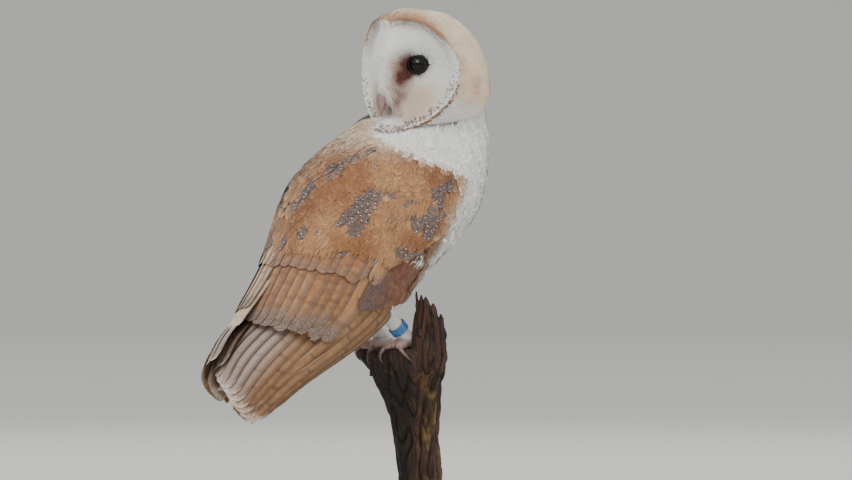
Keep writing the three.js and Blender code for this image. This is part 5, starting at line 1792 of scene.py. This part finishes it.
class OWL_OT_stand(Maker):
    """Lacquered base and steel rod of the display stand"""

    bl_idname = "owl.stand"
    bl_label = "Display stand"

    def build(self, plumage):
        bm = merged_copy(["stand_base"])
        sharp = [e for e in bm.edges if len(e.link_faces) == 2 and e.calc_face_angle(0) > 1]
        bmesh.ops.bevel(bm, geom=sharp, offset=0.0012, segments=4, profile=0.5, affect="EDGES", material=-1)
        mesh = bpy.data.meshes.new("base_board")
        bm.to_mesh(mesh)
        bm.free()
        g = Graph("Stand", 0.42, Coat_Weight=0.25, Coat_Roughness=0.25)
        grain = g.noise(2.4, 5.0, g.place((0.08, 1, 1)), 0.6)
        g.bump(grain, 0.25, 0.35)
        base = g.mix(grain.step(0.35, 0.7), tuple(0.55 * tone("base")), tuple(1.25 * tone("base")))
        add_piece("base_board", mesh, ["stand_base"], g.paint(base, 0.36 + grain * 0.2))
        bm = merged_copy(["stand_rod"])
        mesh = bpy.data.meshes.new("rod_steel")
        bm.to_mesh(mesh)
        bm.free()
        smooth_faces(mesh)
        g = Graph("Steel", 0.3, Metallic=1.0)
        brushed = g.noise(0.6, 3.0, g.place((1, 1, 0.05)))
        g.bump(brushed, 0.05, 0.3)
        add_piece("rod_steel", mesh, ["stand_rod"], g.paint(g.mix(brushed, (0.42, 0.43, 0.45), (0.62, 0.63, 0.65)), 0.24 + brushed * 0.2))


# ------------------------------------------------------------------ stage
class OWL_OT_stage(bpy.types.Operator):
    """Plain floor that sweeps up all round, soft light and the camera"""

    bl_idname = "owl.stage"
    bl_label = "Stage"
    bl_options = {"REGISTER", "UNDO"}

    def execute(self, context):
        stage = context.scene.owl_stage
        bm = bmesh.new()
        line = [(0, 0), (14, 0)] + [(14 + 4 * math.sin(a), 4 - 4 * math.cos(a)) for a in np.linspace(0.15, math.pi / 2, 10)] + [(18, 7)]
        verts = [bm.verts.new((r, 0, z)) for r, z in line]
        edges = [bm.edges.new(pair) for pair in zip(verts, verts[1:])]
        bmesh.ops.spin(bm, geom=edges, cent=(0, 0, 0), axis=(0, 0, 1), angle=2 * math.pi, steps=72, use_merge=True)
        bmesh.ops.remove_doubles(bm, verts=bm.verts, dist=1e-5)
        bmesh.ops.recalc_face_normals(bm, faces=bm.faces)
        bmesh.ops.reverse_faces(bm, faces=bm.faces)
        mesh = bpy.data.meshes.new("floor")
        bm.to_mesh(mesh)
        bm.free()
        smooth_faces(mesh)
        floor = bpy.data.objects.new("floor", mesh)
        context.scene.collection.objects.link(floor)
        g = Graph("Floor", 0.95)
        mesh.materials.append(g.paint(tuple(stage.floor)))
        floor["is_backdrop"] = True
        world = bpy.data.worlds.new("Daylight")
        world.use_nodes = True
        world.node_tree.nodes["Background"].inputs[0].default_value = (0.93, 0.96, 1.0, 1)
        world.node_tree.nodes["Background"].inputs[1].default_value = stage.daylight
        context.scene.world = world
        target = Vector((0, 0, 0.26))
        for name, place, size, power in (
            ("key", (-2.2, -2.2, 3.2), 2.4, stage.key), ("fill", (2.6, -2.4, 1.2), 2.4, 0.3 * stage.key),
            ("back", (1.5, 2.8, 2.4), 2.0, 0.35 * stage.key),
        ):
            lamp = bpy.data.lights.new(name, "AREA")
            lamp.energy, lamp.size = power, size
            obj = bpy.data.objects.new(name, lamp)
            obj.location = place
            obj.rotation_euler = (target - Vector(place)).to_track_quat("-Z", "Y").to_euler()
            context.scene.collection.objects.link(obj)
        camera = bpy.data.objects.new("camera", bpy.data.cameras.new("camera"))
        camera.data.lens, camera.data.sensor_width = stage.lens, 36
        camera.data.clip_end = 100
        aim = Vector((0.0112 * 0.866, -0.0112 * 0.5, 0.254))
        camera.location = aim - Vector((0.5, 0.866, 0)) * stage.distance
        camera.rotation_euler = (math.pi / 2, 0, math.radians(-30))
        context.scene.collection.objects.link(camera)
        context.scene.camera = camera
        return {"FINISHED"}


MAKERS = (OWL_OT_crown, OWL_OT_face, OWL_OT_ruff, OWL_OT_breast, OWL_OT_mantle, OWL_OT_wings, OWL_OT_tail,
          OWL_OT_legs, OWL_OT_skin, OWL_OT_eyes, OWL_OT_horn, OWL_OT_ring, OWL_OT_perch, OWL_OT_stand, OWL_OT_stage)


class OWL_PT_model(bpy.types.Panel):
    """Lists the owl's settings and its makers"""

    bl_idname = "OWL_PT_model"
    bl_label = "Barn owl"
    bl_space_type = "VIEW_3D"
    bl_region_type = "UI"
    bl_category = "Owl"

    def draw(self, context):
        for title, group in (("Colours", context.scene.owl_colours), ("Plumage", context.scene.owl_plumage), ("Stage", context.scene.owl_stage)):
            box = self.layout.box()
            box.label(text=title)
            for key in group.__annotations__:
                box.prop(group, key)
        for maker in MAKERS:
            self.layout.operator(maker.bl_idname)


CLASSES = (OWL_PG_colours, OWL_PG_plumage, OWL_PG_stage, *MAKERS, OWL_PT_model)


def register():
    for cls in CLASSES:
        bpy.utils.register_class(cls)
    bpy.types.Scene.owl_colours = PointerProperty(type=OWL_PG_colours)
    bpy.types.Scene.owl_plumage = PointerProperty(type=OWL_PG_plumage)
    bpy.types.Scene.owl_stage = PointerProperty(type=OWL_PG_stage)


def unregister():
    for name in ("owl_stage", "owl_plumage", "owl_colours"):
        delattr(bpy.types.Scene, name)
    for cls in reversed(CLASSES):
        bpy.utils.unregister_class(cls)


def main():
    register()
    for maker in MAKERS:
        group, name = maker.bl_idname.split(".")
        getattr(getattr(bpy.ops, group), name)()
    boxes = {"cad": CAD_BOX, "visual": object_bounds()}
    {name: [list(low), list(high)] for name, (low, high) in boxes.items()}


if __name__ == "__main__":
    main()
